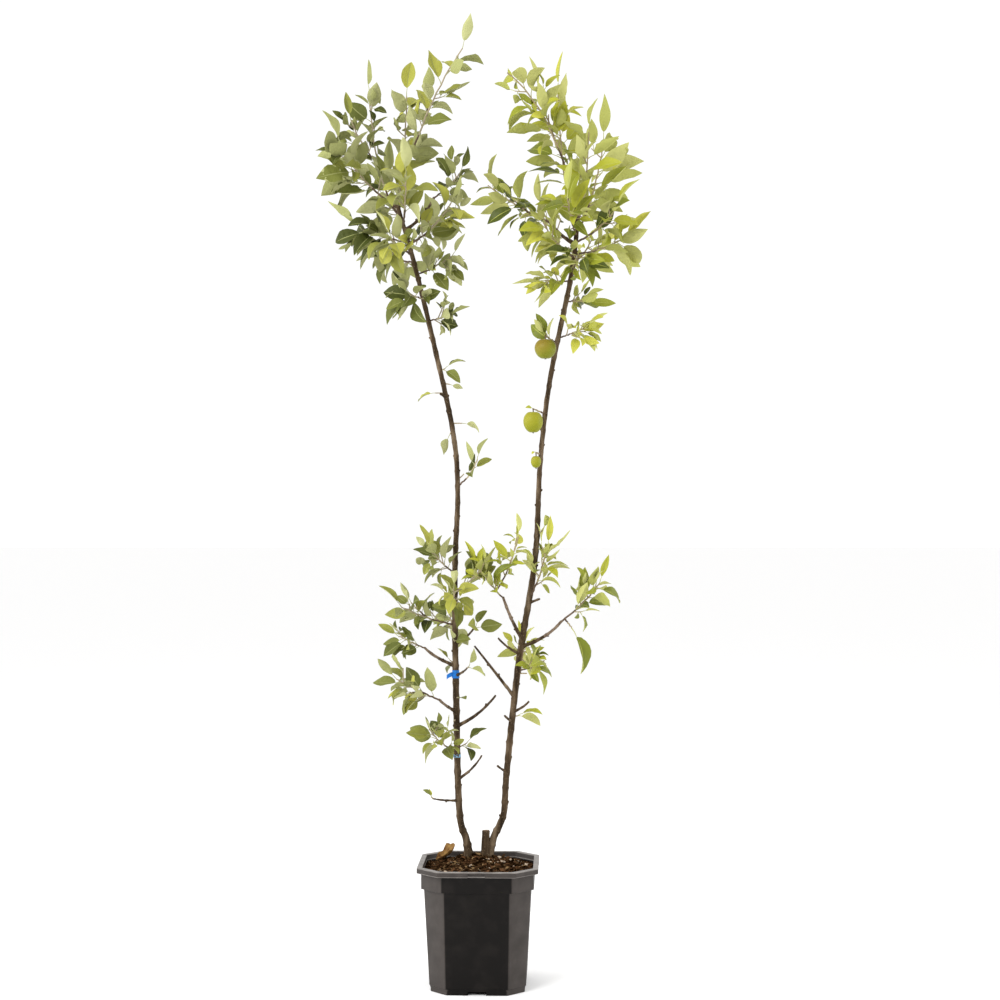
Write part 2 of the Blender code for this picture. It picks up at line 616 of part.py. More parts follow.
def leaf_shape(leaf, margin=0.0, blade_only=False):
    """A leaf on its stalk, with a keeled blade whose tip droops."""
    side = leaf.along.cross(leaf.face)
    stalk = leaf.blade * STALK_SHARE
    half_width = leaf.blade * LEAF_WIDTH / 2.0
    root = leaf.root + leaf.face * margin
    neck = root + leaf.along * stalk
    belly = root + leaf.along * (stalk + leaf.blade * LEAF_BELLY)
    keel = LEAF_KEEL + 2.0 * margin
    stalk_half = STALK_RADIUS + margin
    rings = [
        wedge(neck, side, leaf.face, stalk_half, keel),
        wedge(belly, side, leaf.face, half_width + margin, keel),
    ]
    if not blade_only:
        foot = root + leaf.face * STALK_FOOT_RISE
        rings.insert(0, wedge(foot, side, leaf.face, STALK_FOOT_HALF, STALK_FOOT))
    droop = leaf.face * leaf.blade * LEAF_DROOP
    tip = root + leaf.along * (stalk + leaf.blade + margin) - droop
    return ring_stack(rings, tip)


def tree_of(shape):
    """The search tree of a guard's faces."""
    tree = BVHTree.FromBMesh(shape)
    shape.free()
    return tree


class Crown:
    """What has grown so far, with the guards that keep new growth clear of it."""

    def __init__(self):
        self.limb_guards = []
        self.leaf_guards = []
        self.stem_points = []

    def add_limb(self, owner, shape):
        self.limb_guards.append((owner, tree_of(shape)))

    def add_stem(self, owner, path):
        for share in STEM_SAMPLES:
            self.stem_points.append((owner, point_along(path, share)[0]))

    def add_leaf(self, owner, leaf):
        centre = leaf.root + leaf.along * leaf.blade * LEAF_CENTRE
        whole = tree_of(leaf_shape(leaf, GUARD))
        blade = tree_of(leaf_shape(leaf, GUARD, blade_only=True))
        self.leaf_guards.append((owner, centre, leaf.blade, whole, blade))

    def in_space(self, owner, tip):
        """A leaf's tip stays in the crown and nearer to its own shoot than to any other."""
        if not CROWN_LEFT < tip.x < CROWN_RIGHT or abs(tip.y) > CROWN_DEPTH or tip.z > CROWN_TOP:
            return False
        own = min((point - tip).length for name, point in self.stem_points if name == owner)
        return all((point - tip).length > own for name, point in self.stem_points if name != owner)

    def is_clear(self, owner, leaf):
        tip = leaf.root + leaf.along * leaf.blade * (1.0 + STALK_SHARE)
        if not self.in_space(owner, tip):
            return False
        whole = tree_of(leaf_shape(leaf, GUARD))
        blade = tree_of(leaf_shape(leaf, GUARD, blade_only=True))
        for name, guard in self.limb_guards:
            if guard.overlap(blade if name == owner else whole):
                return False
        centre = leaf.root + leaf.along * leaf.blade * LEAF_CENTRE
        for name, there, size, other_whole, other_blade in self.leaf_guards:
            if (there - centre).length > LEAF_NEAR * (size + leaf.blade):
                continue
            if name != owner and other_whole.overlap(whole):
                return False
            if name == owner and (other_whole.overlap(blade) or other_blade.overlap(whole)):
                return False
        return True


def new_leaf(path, share, turn, size, chance):
    """A leaf that leans out from its shoot, and hangs and rolls a little."""
    root, way = point_along(path, share)
    across = way.orthogonal().normalized()
    radial = Matrix.Rotation(turn, 3, way) @ across
    lean = math.radians(chance.uniform(*LEAN)) * (1.0 - TIP_LEAN_LOSS * share)
    along = way * math.cos(lean) + radial * math.sin(lean)
    along.z -= chance.uniform(0.0, LEAF_SAG) * (1.0 - LEAF_SAG * way.z) * math.sin(lean)
    if share >= 1.0:
        along = way + radial * LAST_LEAF_SIDE + UP * max(way.z, 0.0)
    along.normalize()
    face = way * FACE_FORWARD + UP - radial * FACE_BACK
    face = (face - along * face.dot(along)).normalized()
    roll = math.radians(chance.uniform(-LEAF_ROLL, LEAF_ROLL))
    face = Matrix.Rotation(roll, 3, along) @ face
    return Leaf(root, along, face, size * chance.uniform(*BLADE_SPREAD))


def grow_leaves(crown, owner, twig, chance):
    """Leaves by the golden angle along a shoot, the last one at its tip."""
    grown_leaves = []
    start_turn = chance.uniform(0.0, math.tau)
    for index in range(twig.leaves):
        share = twig.bare + (1.0 - twig.bare) * (index + LEAF_STAGGER) / twig.leaves
        if index == twig.leaves - 1:
            share = 1.0
        turn = start_turn + index * GOLDEN_ANGLE
        for attempt in range(LEAF_TRIES):
            size = twig.leaf_length * TRY_SHRINK ** attempt
            leaf = new_leaf(twig.path, share, turn, size, chance)
            if crown.is_clear(owner, leaf):
                crown.add_leaf(owner, leaf)
                grown_leaves.append(leaf)
                break
            turn += chance.uniform(*TRY_TURN)
    return grown_leaves


def host_start(limb, paths):
    """Where a limb leaves its host: on a stem at its height, or just inside a bough's tip."""
    host = paths[limb.host]
    if limb.start:
        return point_at_height(host, limb.start)
    tip, before = host.points[-1], host.points[-2]
    return tip - (tip - before).normalized() * BOUGH_OVERLAP


def limb_path(limb, paths):
    return arc_path(host_start(limb, paths), limb, limb.radius, limb.tip_radius)


def cut_at_ground(item):
    """Cuts a stem off flat where it meets the compost, and closes the cut."""
    shape = bmesh.new()
    shape.from_mesh(item.data)
    everything = list(shape.verts) + list(shape.edges) + list(shape.faces)
    cut = bmesh.ops.bisect_plane(
        shape, geom=everything, plane_co=UP * GROUND, plane_no=UP, clear_inner=True, dist=CUT_WELD
    )
    rim = [part for part in cut["geom_cut"] if isinstance(part, bmesh.types.BMEdge)]
    bmesh.ops.edgeloop_fill(shape, edges=rim)
    bmesh.ops.recalc_face_normals(shape, faces=shape.faces)
    shape.to_mesh(item.data)
    shape.free()


def make_stem(stem, paths, kit):
    """A trained stem with its short bare spurs and any stub of the rootstock."""
    path = smooth_path(stem.stations, STEM_STEPS)
    paths[stem.name] = path
    mesh = mesh_from(tube(path, STEM_SIDES, kit), stem.name)
    item = add_object(stem.name, mesh, kit.collection, bark_finish(stem.name))
    bits = new_collection(f"{stem.name}_bits")
    for spur in SPURS:
        if spur.host == stem.name:
            shape = tube(limb_path(spur, paths), BOUGH_SIDES, kit)
            add_object(spur.name, mesh_from(shape, spur.name), bits)
    if stem.stub:
        shape = tube(smooth_path(stem.stub, 1), STEM_SIDES, kit)
        add_object("rootstock_stub", mesh_from(shape, "rootstock_stub"), bits)
    fuse(item, [bits])
    remove_collection(bits)
    cut_at_ground(item)


def host_cutter(name, path, sides, kit):
    """A host thickened by the clearance, to cut what grows from it."""
    extra = GAP / math.cos(math.pi / sides)
    shape = tube(grown(path, extra, GAP), sides, kit)
    return add_cutter(f"{name}_clearance", shape, kit.cutters)


def make_fruit(fruit, path):
    """An apple that hangs from the end of its spur."""
    tip = path.points[-1]
    centre = tip - UP * (fruit.drop + fruit.height / 2.0 - FRUIT_DIMPLE)
    shape = bmesh.new()
    bmesh.ops.create_uvsphere(
        shape, u_segments=FRUIT_SIDES, v_segments=FRUIT_RINGS, radius=0.5
    )
    size = Matrix.Diagonal((fruit.width, fruit.width, fruit.height, 1.0))
    bmesh.ops.transform(shape, matrix=Matrix.Translation(centre) @ size, verts=shape.verts)
    return shape


def stalk_path(fruit, path):
    """A fruit's stalk, from inside the end of its spur down into the fruit."""
    tip = path.points[-1]
    way = (tip - path.points[-2]).normalized()
    foot = tip - UP * (fruit.drop + FRUIT_DIMPLE)
    return Path([tip - way * FRUIT_STALK_ROOT, foot], list(FRUIT_STALK_RADII))


def make_boughs(kit, crown, paths, clearances):
    """The boughs, each cut clear of its stem, and the guards of every limb."""
    for stem in STEMS:
        path = paths[stem.name]
        crown.add_limb(stem.name, tube(grown(path, GUARD), STEM_SIDES, kit))
        clearances[stem.name] = host_cutter(stem.name, path, STEM_SIDES, kit)
    for spur in SPURS:
        guard = grown(limb_path(spur, paths), GUARD, GUARD)
        crown.add_limb(spur.host, tube(guard, BOUGH_SIDES, kit))
    for bough in BOUGHS:
        path = limb_path(bough, paths)
        paths[bough.name] = path
        mesh = mesh_from(tube(path, BOUGH_SIDES, kit), bough.name)
        item = add_object(bough.name, mesh, kit.collection, bark_finish(bough.name))
        fuse(item, [], clearances[bough.host])
        crown.add_limb(bough.name, tube(grown(path, GUARD), BOUGH_SIDES, kit))
        clearances[bough.name] = host_cutter(bough.name, path, BOUGH_SIDES, kit)


def plan_twigs(paths):
    """Every mass's stem, followed by its side shoots, under the mass's name."""
    twigs = {}
    for shoot in LEFT_SHOOTS + RIGHT_SHOOTS:
        is_short = math.hypot(shoot.reach, shoot.rise) < SHORT_SHOOT
        radius = SHORT_SHOOT_RADIUS if is_short else SHOOT_RADIUS
        path = arc_path(host_start(shoot, paths), shoot, radius, SHOOT_TIP_RADIUS)
        twigs[shoot.name] = [Twig(path, shoot.bare, shoot.leaves, shoot.leaf_length)]
    for fork in FORKS:
        start = point_along(twigs[fork.mass][0].path, fork.share)[0]
        path = arc_path(start, fork, SHORT_SHOOT_RADIUS, SHOOT_TIP_RADIUS)
        twigs[fork.mass].append(Twig(path, FORK_BARE, fork.leaves, fork.leaf_length))
    return twigs


def make_mass(kit, crown, shoot, twigs, fruit, clearance):
    """A mass of foliage: its stem, side shoots, leaves and any fruit, joined by one union."""
    leaf_finish = left_leaf_finish if shoot in LEFT_SHOOTS else right_leaf_finish
    chance = random.Random(shoot.name)
    bits = new_collection(f"{shoot.name}_bits")
    stem_path = twigs[0].path
    mesh = mesh_from(tube(stem_path, TWIG_SIDES, kit), shoot.name)
    item = add_object(shoot.name, mesh, kit.collection, leaf_finish(shoot.name))
    for fork in twigs[1:]:
        add_object("twig", mesh_from(tube(fork.path, TWIG_SIDES, kit), "twig"), bits)
    for twig in twigs:
        for leaf in grow_leaves(crown, shoot.name, twig, chance):
            add_object("leaf", mesh_from(leaf_shape(leaf), "leaf"), bits)
    if fruit:
        stalk = tube(stalk_path(fruit, stem_path), TWIG_SIDES, kit)
        add_object("stalk", mesh_from(stalk, "stalk"), bits)
        add_object("fruit", mesh_from(make_fruit(fruit, stem_path), "fruit"), bits)
    fuse(item, [bits], clearance)
    remove_collection(bits)


def main():
    clear_scene()
    collection = new_collection(OBJECT_NAME)
    cutters = new_collection("cutters")
    helpers = new_collection("helpers")
    kit = Kit(collection, cutters, helpers, make_profile(helpers))
    make_pot(kit)
    make_soil(kit)

    paths = {}
    clearances = {}
    crown = Crown()
    for stem in STEMS:
        make_stem(stem, paths, kit)
    make_boughs(kit, crown, paths, clearances)

    twigs = plan_twigs(paths)
    fruits = {fruit.mass: fruit for fruit in FRUITS}
    for name, own_twigs in twigs.items():
        for twig in own_twigs:
            crown.add_limb(name, tube(grown(twig.path, GUARD, GUARD), BOUGH_SIDES, kit))
            crown.add_stem(name, twig.path)
        if name in fruits:
            crown.add_limb(name, make_fruit(fruits[name], own_twigs[0].path))
    for shoot in LEFT_SHOOTS + RIGHT_SHOOTS:
        fruit = fruits.get(shoot.name)
        make_mass(kit, crown, shoot, twigs[shoot.name], fruit, clearances[shoot.host])

    bpy.data.objects.remove(kit.section, do_unlink=True)
    for cutter in clearances.values():
        bpy.data.objects.remove(cutter, do_unlink=True)
    bpy.data.collections.remove(helpers)


main()
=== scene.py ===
"""A dwarf apple tree in its nursery pot: two trained stems that rise from one grafted foot.

Metres, +Z up. The origin is the centre of the pot's underside, -Y is the front and +X the
right. The tree is put together from the ground up: pot, compost, bark, ties, young shoots,
leaves and apples. A mass of foliage keeps to its own space, as its solid in the frame does.
"""
import math
import random
from collections import namedtuple

import bmesh
import bpy
import numpy as np
from mathutils import Matrix, Vector, noise
from mathutils.bvhtree import BVHTree


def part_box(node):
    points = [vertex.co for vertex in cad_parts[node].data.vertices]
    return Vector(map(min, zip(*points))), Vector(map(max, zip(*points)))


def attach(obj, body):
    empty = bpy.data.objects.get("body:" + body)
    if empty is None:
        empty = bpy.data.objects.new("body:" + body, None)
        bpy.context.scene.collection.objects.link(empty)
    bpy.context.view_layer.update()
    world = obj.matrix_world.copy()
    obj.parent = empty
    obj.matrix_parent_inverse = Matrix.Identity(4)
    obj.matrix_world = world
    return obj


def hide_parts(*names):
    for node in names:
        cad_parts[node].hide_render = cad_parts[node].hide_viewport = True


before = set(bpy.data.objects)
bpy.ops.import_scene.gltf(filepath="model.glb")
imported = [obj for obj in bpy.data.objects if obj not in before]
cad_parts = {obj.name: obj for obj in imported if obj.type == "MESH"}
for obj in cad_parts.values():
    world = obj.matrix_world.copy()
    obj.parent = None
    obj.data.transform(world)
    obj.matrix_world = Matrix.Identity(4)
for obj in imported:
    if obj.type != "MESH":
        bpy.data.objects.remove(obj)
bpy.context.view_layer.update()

# The pot
# A square nursery container with its corners cut off, moulded in one shot of black
# polypropylene: foot, tapering body, collar, and a thin lip turned out and down into a skirt.
# Dust greys its cut corners and lip, the corners paler still as painted reflection of the side
# lights, and crates and hands have rubbed the lip's edges pale.
GAP = 0.0003
POT_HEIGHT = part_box("pot")[1].z
POT_TURN = math.radians(-2.0)
POT_WALL = 0.002
FOOT_WIDTH = 0.1905
FOOT_HEIGHT = 0.012
FOOT_STEP = 0.001
BODY_FOOT_WIDTH = 0.1955
BODY_TOP_WIDTH = 0.2170
COLLAR_BASE = 0.208
COLLAR_WIDTH = 0.2279
LIP_BASE = 0.2405
LIP_WIDTH = 0.2450
LIP_WALL = 0.0016
FOOT_CORNER = 0.0338
BODY_TOP_CORNER = 0.0415
COLLAR_CORNER = 0.0422
LIP_CORNER = 0.0447
POT_FLOOR = 0.009
DRAIN_SIZE = (0.037, 0.030, 0.014)
LIP_NOTCH = (0.034, 0.012, 0.0085)
CORNER_SOFTNESS = 0.0022
EDGE_SOFTNESS = 0.0005
UPRIGHT_SHARE = 0.9
CORNER_OFF_MIDDLE = 0.045
CRISP_ANGLE = 0.6
CORNER_FADE = (-0.0026, -0.0008)
RUBBED_EDGE = 0.0011
DULL_SHEEN = 0.12
POT_SHEEN = 0.10
POT_ROUGHNESS = (0.24, 0.42)
POT_BLACK = (0.0046, 0.0037, 0.0032)
POT_DUST = (0.0120, 0.0098, 0.0086)
POT_SCUFF = (0.300, 0.275, 0.255)
# The cut corners' and lip's paler grey: dust, and on the corners painted reflection of the side
# lights
CORNER_DUST_AND_REFLECTION = ((0.036, 0.031, 0.028), (0.056, 0.048, 0.044))
SCRATCH = (0.22, 0.22, 0.22)
BLACK = (0.0, 0.0, 0.0)
# A mix node's colour sockets, by number because its other sockets share their names
MIX_FIRST, MIX_SECOND, MIX_RESULT = 6, 7, 2


def octagon(width, corner, height, turn=POT_TURN):
    """A square ring of points with its four corners cut off."""
    half = width / 2.0
    ring = []
    for side_x, side_y in ((1, -1), (1, 1), (-1, 1), (-1, -1)):
        along_x = Vector((side_x * (half - corner), side_y * half, height))
        along_y = Vector((side_x * half, side_y * (half - corner), height))
        ring.extend([along_x, along_y] if side_x * side_y < 0 else [along_y, along_x])
    place = Matrix.Rotation(turn, 4, "Z")
    return [place @ point for point in ring]


def inside(width, corner, wall):
    """The octagon that lies a wall's thickness inside another."""
    return width - 2.0 * wall, corner - (2.0 - math.sqrt(2.0)) * wall


def drawn_skin(rings):
    """A closed skin drawn out from ring to ring of points."""
    shape = bmesh.new()
    ring = [shape.verts.new(point) for point in rings[0]]
    face = shape.faces.new(ring)
    for level, points in enumerate(rings[1:]):
        drawn = bmesh.ops.extrude_face_region(shape, geom=[face])["geom"]
        if level:
            bmesh.ops.delete(shape, geom=[face], context="FACES_ONLY")
        face = next(part for part in drawn if isinstance(part, bmesh.types.BMFace))
        fresh = set(face.verts)
        ring = [
            next(
                edge.other_vert(vert) for edge in vert.link_edges
                if edge.other_vert(vert) in fresh
            )
            for vert in ring
        ]
        for vert, point in zip(ring, points):
            vert.co = point
    bmesh.ops.recalc_face_normals(shape, faces=shape.faces)
    return shape


def round_edges(shape, edges, softness, steps):
    """Softens edges, as the mould leaves them."""
    bmesh.ops.bevel(
        shape, geom=edges, offset=softness, offset_type="OFFSET", segments=steps,
        profile=0.5, affect="EDGES", material=-1, clamp_overlap=True
    )


def is_corner(edge):
    """The upright edges at the octagon's corners, not those of the small cuts."""
    low, high = sorted(edge.verts, key=lambda vert: vert.co.z)
    steep = high.co.z - low.co.z > UPRIGHT_SHARE * edge.calc_length()
    off_middle = min(abs(low.co.x), abs(low.co.y)) > CORNER_OFF_MIDDLE
    return steep and off_middle


def block(size, centre, turn):
    """A plain block, turned about the pot's own axis."""
    shape = bmesh.new()
    bmesh.ops.create_cube(shape, size=1.0)
    place = Matrix.Rotation(turn, 4, "Z") @ Matrix.Translation(centre)
    bmesh.ops.transform(shape, matrix=place @ Matrix.Diagonal((*size, 1.0)), verts=shape.verts)
    return shape


def linked(name, data):
    item = bpy.data.objects.new(name, data)
    bpy.context.scene.collection.objects.link(item)
    return item


def shape_of(mesh):
    """A mesh opened for shaping."""
    shape = bmesh.new()
    shape.from_mesh(mesh)
    return shape


def put_back(shape, mesh):
    """Writes a shape into its mesh, and closes it."""
    shape.to_mesh(mesh)
    shape.free()
    return mesh


def mesh_of(shape, name):
    return put_back(shape, bpy.data.meshes.new(name))


def finished_mesh(item):
    """A piece's mesh with its modifiers applied."""
    evaluated = item.evaluated_get(bpy.context.evaluated_depsgraph_get())
    return bpy.data.meshes.new_from_object(evaluated)


def cut_away(item, shapes):
    """Takes each shape out of a piece, and then drops it."""
    for shape in shapes:
        cutter = linked("cutter", mesh_of(shape, "cutter"))
        modifier = item.modifiers.new("cut", "BOOLEAN")
        modifier.operation = "DIFFERENCE"
        modifier.solver = "EXACT"
        modifier.object = cutter
        mesh = finished_mesh(item)
        item.modifiers.clear()
        item.data = mesh
        bpy.data.objects.remove(cutter, do_unlink=True)


def smooth_up_to(mesh, degrees):
    """Shades a mesh smooth, but for folds sharper than an angle."""
    mesh.polygons.foreach_set("use_smooth", [True] * len(mesh.polygons))
    mesh.set_sharp_from_angle(angle=math.radians(degrees))


def shader_of(material):
    return material.node_tree.nodes["Principled BSDF"]


def new_finish(name, colour, roughness, **values):
    """A finish with one colour, whose shader can take more from nodes."""
    material = bpy.data.materials.new(name)
    material.use_nodes = True
    shader = shader_of(material)
    shader.inputs["Base Color"].default_value = (*colour, 1.0)
    shader.inputs["Roughness"].default_value = roughness
    shader.inputs["Specular IOR Level"].default_value = DULL_SHEEN
    for socket, value in values.items():
        shader.inputs[socket.replace("_", " ")].default_value = value
    return material


def join(material, output, socket):
    material.node_tree.links.new(output, socket)


def coloured_by(material, colour):
    """Gives a finish the colour that a node puts out."""
    join(material, colour, shader_of(material).inputs["Base Color"])


def add_node(material, kind, inputs=(), **settings):
    """A shader node, with plain values or other nodes' outputs as its inputs."""
    node = material.node_tree.nodes.new(kind)
    for setting, value in settings.items():
        setattr(node, setting, value)
    for socket, value in dict(inputs).items():
        if isinstance(value, bpy.types.NodeSocket):
            join(material, value, node.inputs[socket])
        else:
            node.inputs[socket].default_value = value
    return node


def maths(material, operation, *values):
    """One sum on plain values and other nodes' outputs."""
    node = add_node(material, "ShaderNodeMath", enumerate(values), operation=operation)
    return node.outputs["Value"]


def spread(material, value, start, end=(0.0, 1.0)):
    """A value from one range, spread over another."""
    return add_node(material, "ShaderNodeMapRange", {
        "Value": value, "From Min": start[0], "From Max": start[1],
        "To Min": end[0], "To Max": end[1]
    }).outputs["Result"]


def mixed(material, amount, first, second):
    """A colour between a node's and another, which may be a plain one."""
    if not isinstance(second, bpy.types.NodeSocket):
        second = (*second, 1.0)
    return add_node(material, "ShaderNodeMix", {
        "Factor": amount, MIX_FIRST: first, MIX_SECOND: second
    }, data_type="RGBA").outputs[MIX_RESULT]


def place_on(material):
    """Where a spot lies on the piece, in the piece's own coordinates."""
    return add_node(material, "ShaderNodeTexCoord").outputs["Object"]


def grain(material, scale, detail, stretch=(1.0, 1.0, 1.0)):
    """Noise on the piece's own coordinates."""
    mapping = add_node(material, "ShaderNodeMapping", {
        "Vector": place_on(material), "Scale": stretch
    })
    return add_node(material, "ShaderNodeTexNoise", {
        "Vector": mapping.outputs["Vector"], "Scale": scale, "Detail": detail
    }).outputs["Fac"]


def colours(material, amount, stops):
    """Colours dealt out along an amount from 0 to 1."""
    ramp = add_node(material, "ShaderNodeValToRGB", {"Fac": amount})
    elements = ramp.color_ramp.elements
    while len(elements) < len(stops):
        elements.new(0.5)
    for element, (position, colour) in zip(elements, stops):
        element.position = position
        element.color = (*colour, 1.0)
    return ramp.outputs["Color"]


def relief(material, height, strength, distance):
    """Fine relief in a finish, from a height that a node puts out."""
    bump = add_node(material, "ShaderNodeBump", {
        "Height": height, "Strength": strength, "Distance": distance
    })
    join(material, bump.outputs["Normal"], shader_of(material).inputs["Normal"])


def dust_and_reflection_places(material):
    """The cut corners and the lip, where dust settles and crates rub, with painted reflection on
    the corners.
    """
    squared = add_node(material, "ShaderNodeMapping", {
        "Vector": place_on(material), "Rotation": (0.0, 0.0, -POT_TURN)
    })
    unsigned = add_node(
        material, "ShaderNodeVectorMath", {0: squared.outputs["Vector"]}, operation="ABSOLUTE"
    )
    split = add_node(material, "ShaderNodeSeparateXYZ", {"Vector": unsigned.outputs["Vector"]})
    height = split.outputs["Z"]
    foot_reach = FOOT_WIDTH - FOOT_CORNER
    body_foot_reach = BODY_FOOT_WIDTH - FOOT_CORNER
    body_top_reach = BODY_TOP_WIDTH - BODY_TOP_CORNER
    reach = spread(
        material, height, (FOOT_HEIGHT, COLLAR_BASE),
        (foot_reach, foot_reach + body_top_reach - body_foot_reach)
    )
    for start, step in (
        (FOOT_HEIGHT, body_foot_reach - foot_reach),
        (COLLAR_BASE, COLLAR_WIDTH - COLLAR_CORNER - body_top_reach),
        (LIP_BASE, -LIP_WIDTH),
    ):
        above = maths(material, "GREATER_THAN", height, start - GAP)
        reach = maths(material, "MULTIPLY_ADD", above, step, reach)
    diagonal = maths(material, "ADD", split.outputs["X"], split.outputs["Y"])
    return spread(material, maths(material, "SUBTRACT", diagonal, reach), CORNER_FADE)


def pot_plastic():
    """Black plastic with dust on it, dust and painted reflection on its cut corners, edges that are
    rubbed pale, and fine upright scratches.
    """
    material = new_finish("pot_plastic", POT_BLACK, 0.36, Specular_IOR_Level=POT_SHEEN)
    dust = grain(material, 34.0, 8.0)
    plain = colours(material, dust, ((0.48, POT_BLACK), (0.86, POT_DUST)))
    # Dust on the cut corners and lip, with painted reflection on the corners
    dust_and_reflection_colour = colours(material, dust, ((0.30, CORNER_DUST_AND_REFLECTION[0]), (0.75, CORNER_DUST_AND_REFLECTION[1])))
    base = mixed(material, dust_and_reflection_places(material), plain, dust_and_reflection_colour)
    split = add_node(material, "ShaderNodeSeparateXYZ", {"Vector": place_on(material)})
    rim_edges = maths(material, "ADD", *(
        maths(material, "COMPARE", split.outputs["Z"], edge_height, RUBBED_EDGE)
        for edge_height in (POT_HEIGHT, LIP_BASE)
    ))
    rub = maths(material, "MULTIPLY", rim_edges, grain(material, 45.0, 4.0))
    scuffed = mixed(material, rub, base, POT_SCUFF)
    scratches = grain(material, 60.0, 3.0, (1.0, 1.0, 0.06))
    marks = colours(material, scratches, ((0.66, BLACK), (0.80, SCRATCH)))
    coloured_by(material, mixed(material, marks, scuffed, POT_DUST))
    roughness = spread(material, dust, (0.0, 1.0), POT_ROUGHNESS)
    join(material, roughness, shader_of(material).inputs["Roughness"])
    relief(material, grain(material, 420.0, 2.0), 0.06, 0.0003)
    return material


floor_width = BODY_FOOT_WIDTH + (BODY_TOP_WIDTH - BODY_FOOT_WIDTH) * (POT_FLOOR / COLLAR_BASE)
flange_under = POT_HEIGHT - LIP_WALL
ledge = COLLAR_BASE + POT_WALL
skirt = inside(LIP_WIDTH, LIP_CORNER, LIP_WALL)
collar_inside = inside(COLLAR_WIDTH, COLLAR_CORNER, POT_WALL)
pot_shape = drawn_skin([
    octagon(FOOT_WIDTH, FOOT_CORNER, 0.0),
    octagon(FOOT_WIDTH, FOOT_CORNER, FOOT_HEIGHT),
    octagon(BODY_FOOT_WIDTH, FOOT_CORNER, FOOT_HEIGHT + FOOT_STEP),
    octagon(BODY_TOP_WIDTH, BODY_TOP_CORNER, COLLAR_BASE),
    octagon(COLLAR_WIDTH, COLLAR_CORNER, COLLAR_BASE),
    octagon(COLLAR_WIDTH, COLLAR_CORNER, flange_under),
    octagon(*skirt, flange_under),
    octagon(*skirt, LIP_BASE),
    octagon(LIP_WIDTH, LIP_CORNER, LIP_BASE),
    octagon(LIP_WIDTH, LIP_CORNER, POT_HEIGHT),
    octagon(*collar_inside, POT_HEIGHT),
    octagon(*collar_inside, ledge),
    octagon(*inside(BODY_TOP_WIDTH, BODY_TOP_CORNER, POT_WALL), ledge),
    octagon(*inside(floor_width, FOOT_CORNER, POT_WALL), POT_FLOOR),
])
pot = linked("nursery_pot", mesh_of(pot_shape, "nursery_pot"))
cuts = []
for side in range(4):
    turn = POT_TURN + side * math.pi / 2.0
    notch_y = -COLLAR_WIDTH / 2.0 - LIP_NOTCH[1] / 2.0 - GAP
    cuts.append(block(DRAIN_SIZE, (0.0, -FOOT_WIDTH / 2.0, 0.0), turn))
    cuts.append(block(LIP_NOTCH, (0.0, notch_y, LIP_BASE - FOOT_STEP + LIP_NOTCH[2] / 2.0), turn))
cut_away(pot, cuts)
pot_shape = shape_of(pot.data)
corners = [edge for edge in pot_shape.edges if is_corner(edge)]
round_edges(pot_shape, corners, CORNER_SOFTNESS, 3)
crisp = [
    edge for edge in pot_shape.edges
    if edge.is_manifold and edge.calc_face_angle() > CRISP_ANGLE
]
round_edges(pot_shape, crisp, EDGE_SOFTNESS, 2)
put_back(pot_shape, pot.data)
smooth_up_to(pot.data, 32.0)
pot.data.materials.clear()
pot.data.materials.append(pot_plastic())
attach(pot, "root")
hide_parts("pot")

# The compost
# Dark peat and composted bark, heaped a little round the stems and settled lower against
# the walls. Chips, fibres and a few pale grains lie loose on it, with one curled dry leaf.
SOIL_EDGE = 0.233
SOIL_TOP = 0.258
SOIL_CENTRE_Y = 0.042
HEAP_REACH = (0.072, 0.056)
CLODS = ((55.0, 0.0030), (170.0, 0.0014), (420.0, 0.0006))
SOIL_CELLS = 110
SOIL_DEPTH = 0.020
BIT_COUNT = 2800
BIT_LENGTHS = (0.0030, 0.0165)
BIT_SIZE_SPREAD = (0.4, 1.0)
BIT_SIDE_MARGIN = 0.006
BIT_CORNER_MARGIN = 0.010
BIT_ROLL = 0.35
BIT_TILT = 0.4
BIT_PINCH = (0.45, 1.0)
BIT_SEAT = 0.4
BIT_PERCH = 0.06
FIBRE_SHARE = 0.45
FIBRE_WIDTH = 0.09
FIBRE_THICKNESS = 0.9
CHIP_WIDTHS = (0.25, 0.7)
CHIP_THICKNESSES = (0.2, 0.5)
PEAT_TONES = (
    (0.35, (0.005, 0.002, 0.001)),
    (0.52, (0.030, 0.014, 0.006)),
    (0.68, (0.095, 0.050, 0.023)),
)
SOIL_TONES = (
    ("dark_chip", (0.009, 0.004, 0.0015)),
    ("bark_chip", (0.044, 0.023, 0.010)),
    ("red_chip", (0.092, 0.044, 0.020)),
    ("straw", (0.200, 0.126, 0.060)),
    ("pale_grain", (0.440, 0.350, 0.260)),
)
TONE_WEIGHTS = (8, 9, 5, 3, 1)
DRY_LEAF_PLACE = (-0.089, 0.064, 0.243)
DRY_LEAF_TURN = math.radians(20.0)
DRY_LEAF_SIZE = (0.053, 0.025)
DRY_LEAF_WALL = 0.0004
DRY_LEAF_CURL = 1.3
DRY_LEAF_TONES = ((0.35, (0.085, 0.032, 0.010)), (0.65, (0.26, 0.150, 0.045)))


def soil_height(x, y):
    """The heap round the stems, with its clods."""
    heap = math.exp(-((x / HEAP_REACH[0]) ** 2 + ((y - SOIL_CENTRE_Y) / HEAP_REACH[1]) ** 2))
    clods = sum(noise.noise(Vector((x, y, 0.0)) * scale) * rise for scale, rise in CLODS)
    return SOIL_EDGE + (SOIL_TOP - SOIL_EDGE) * heap + clods


def peat():
    material = new_finish("peat", SOIL_TONES[0][1], 0.95, Specular_IOR_Level=0.0)
    coloured_by(material, colours(material, grain(material, 190.0, 6.0), PEAT_TONES))
    relief(material, grain(material, 600.0, 4.0), 0.5, 0.0015)
    return material


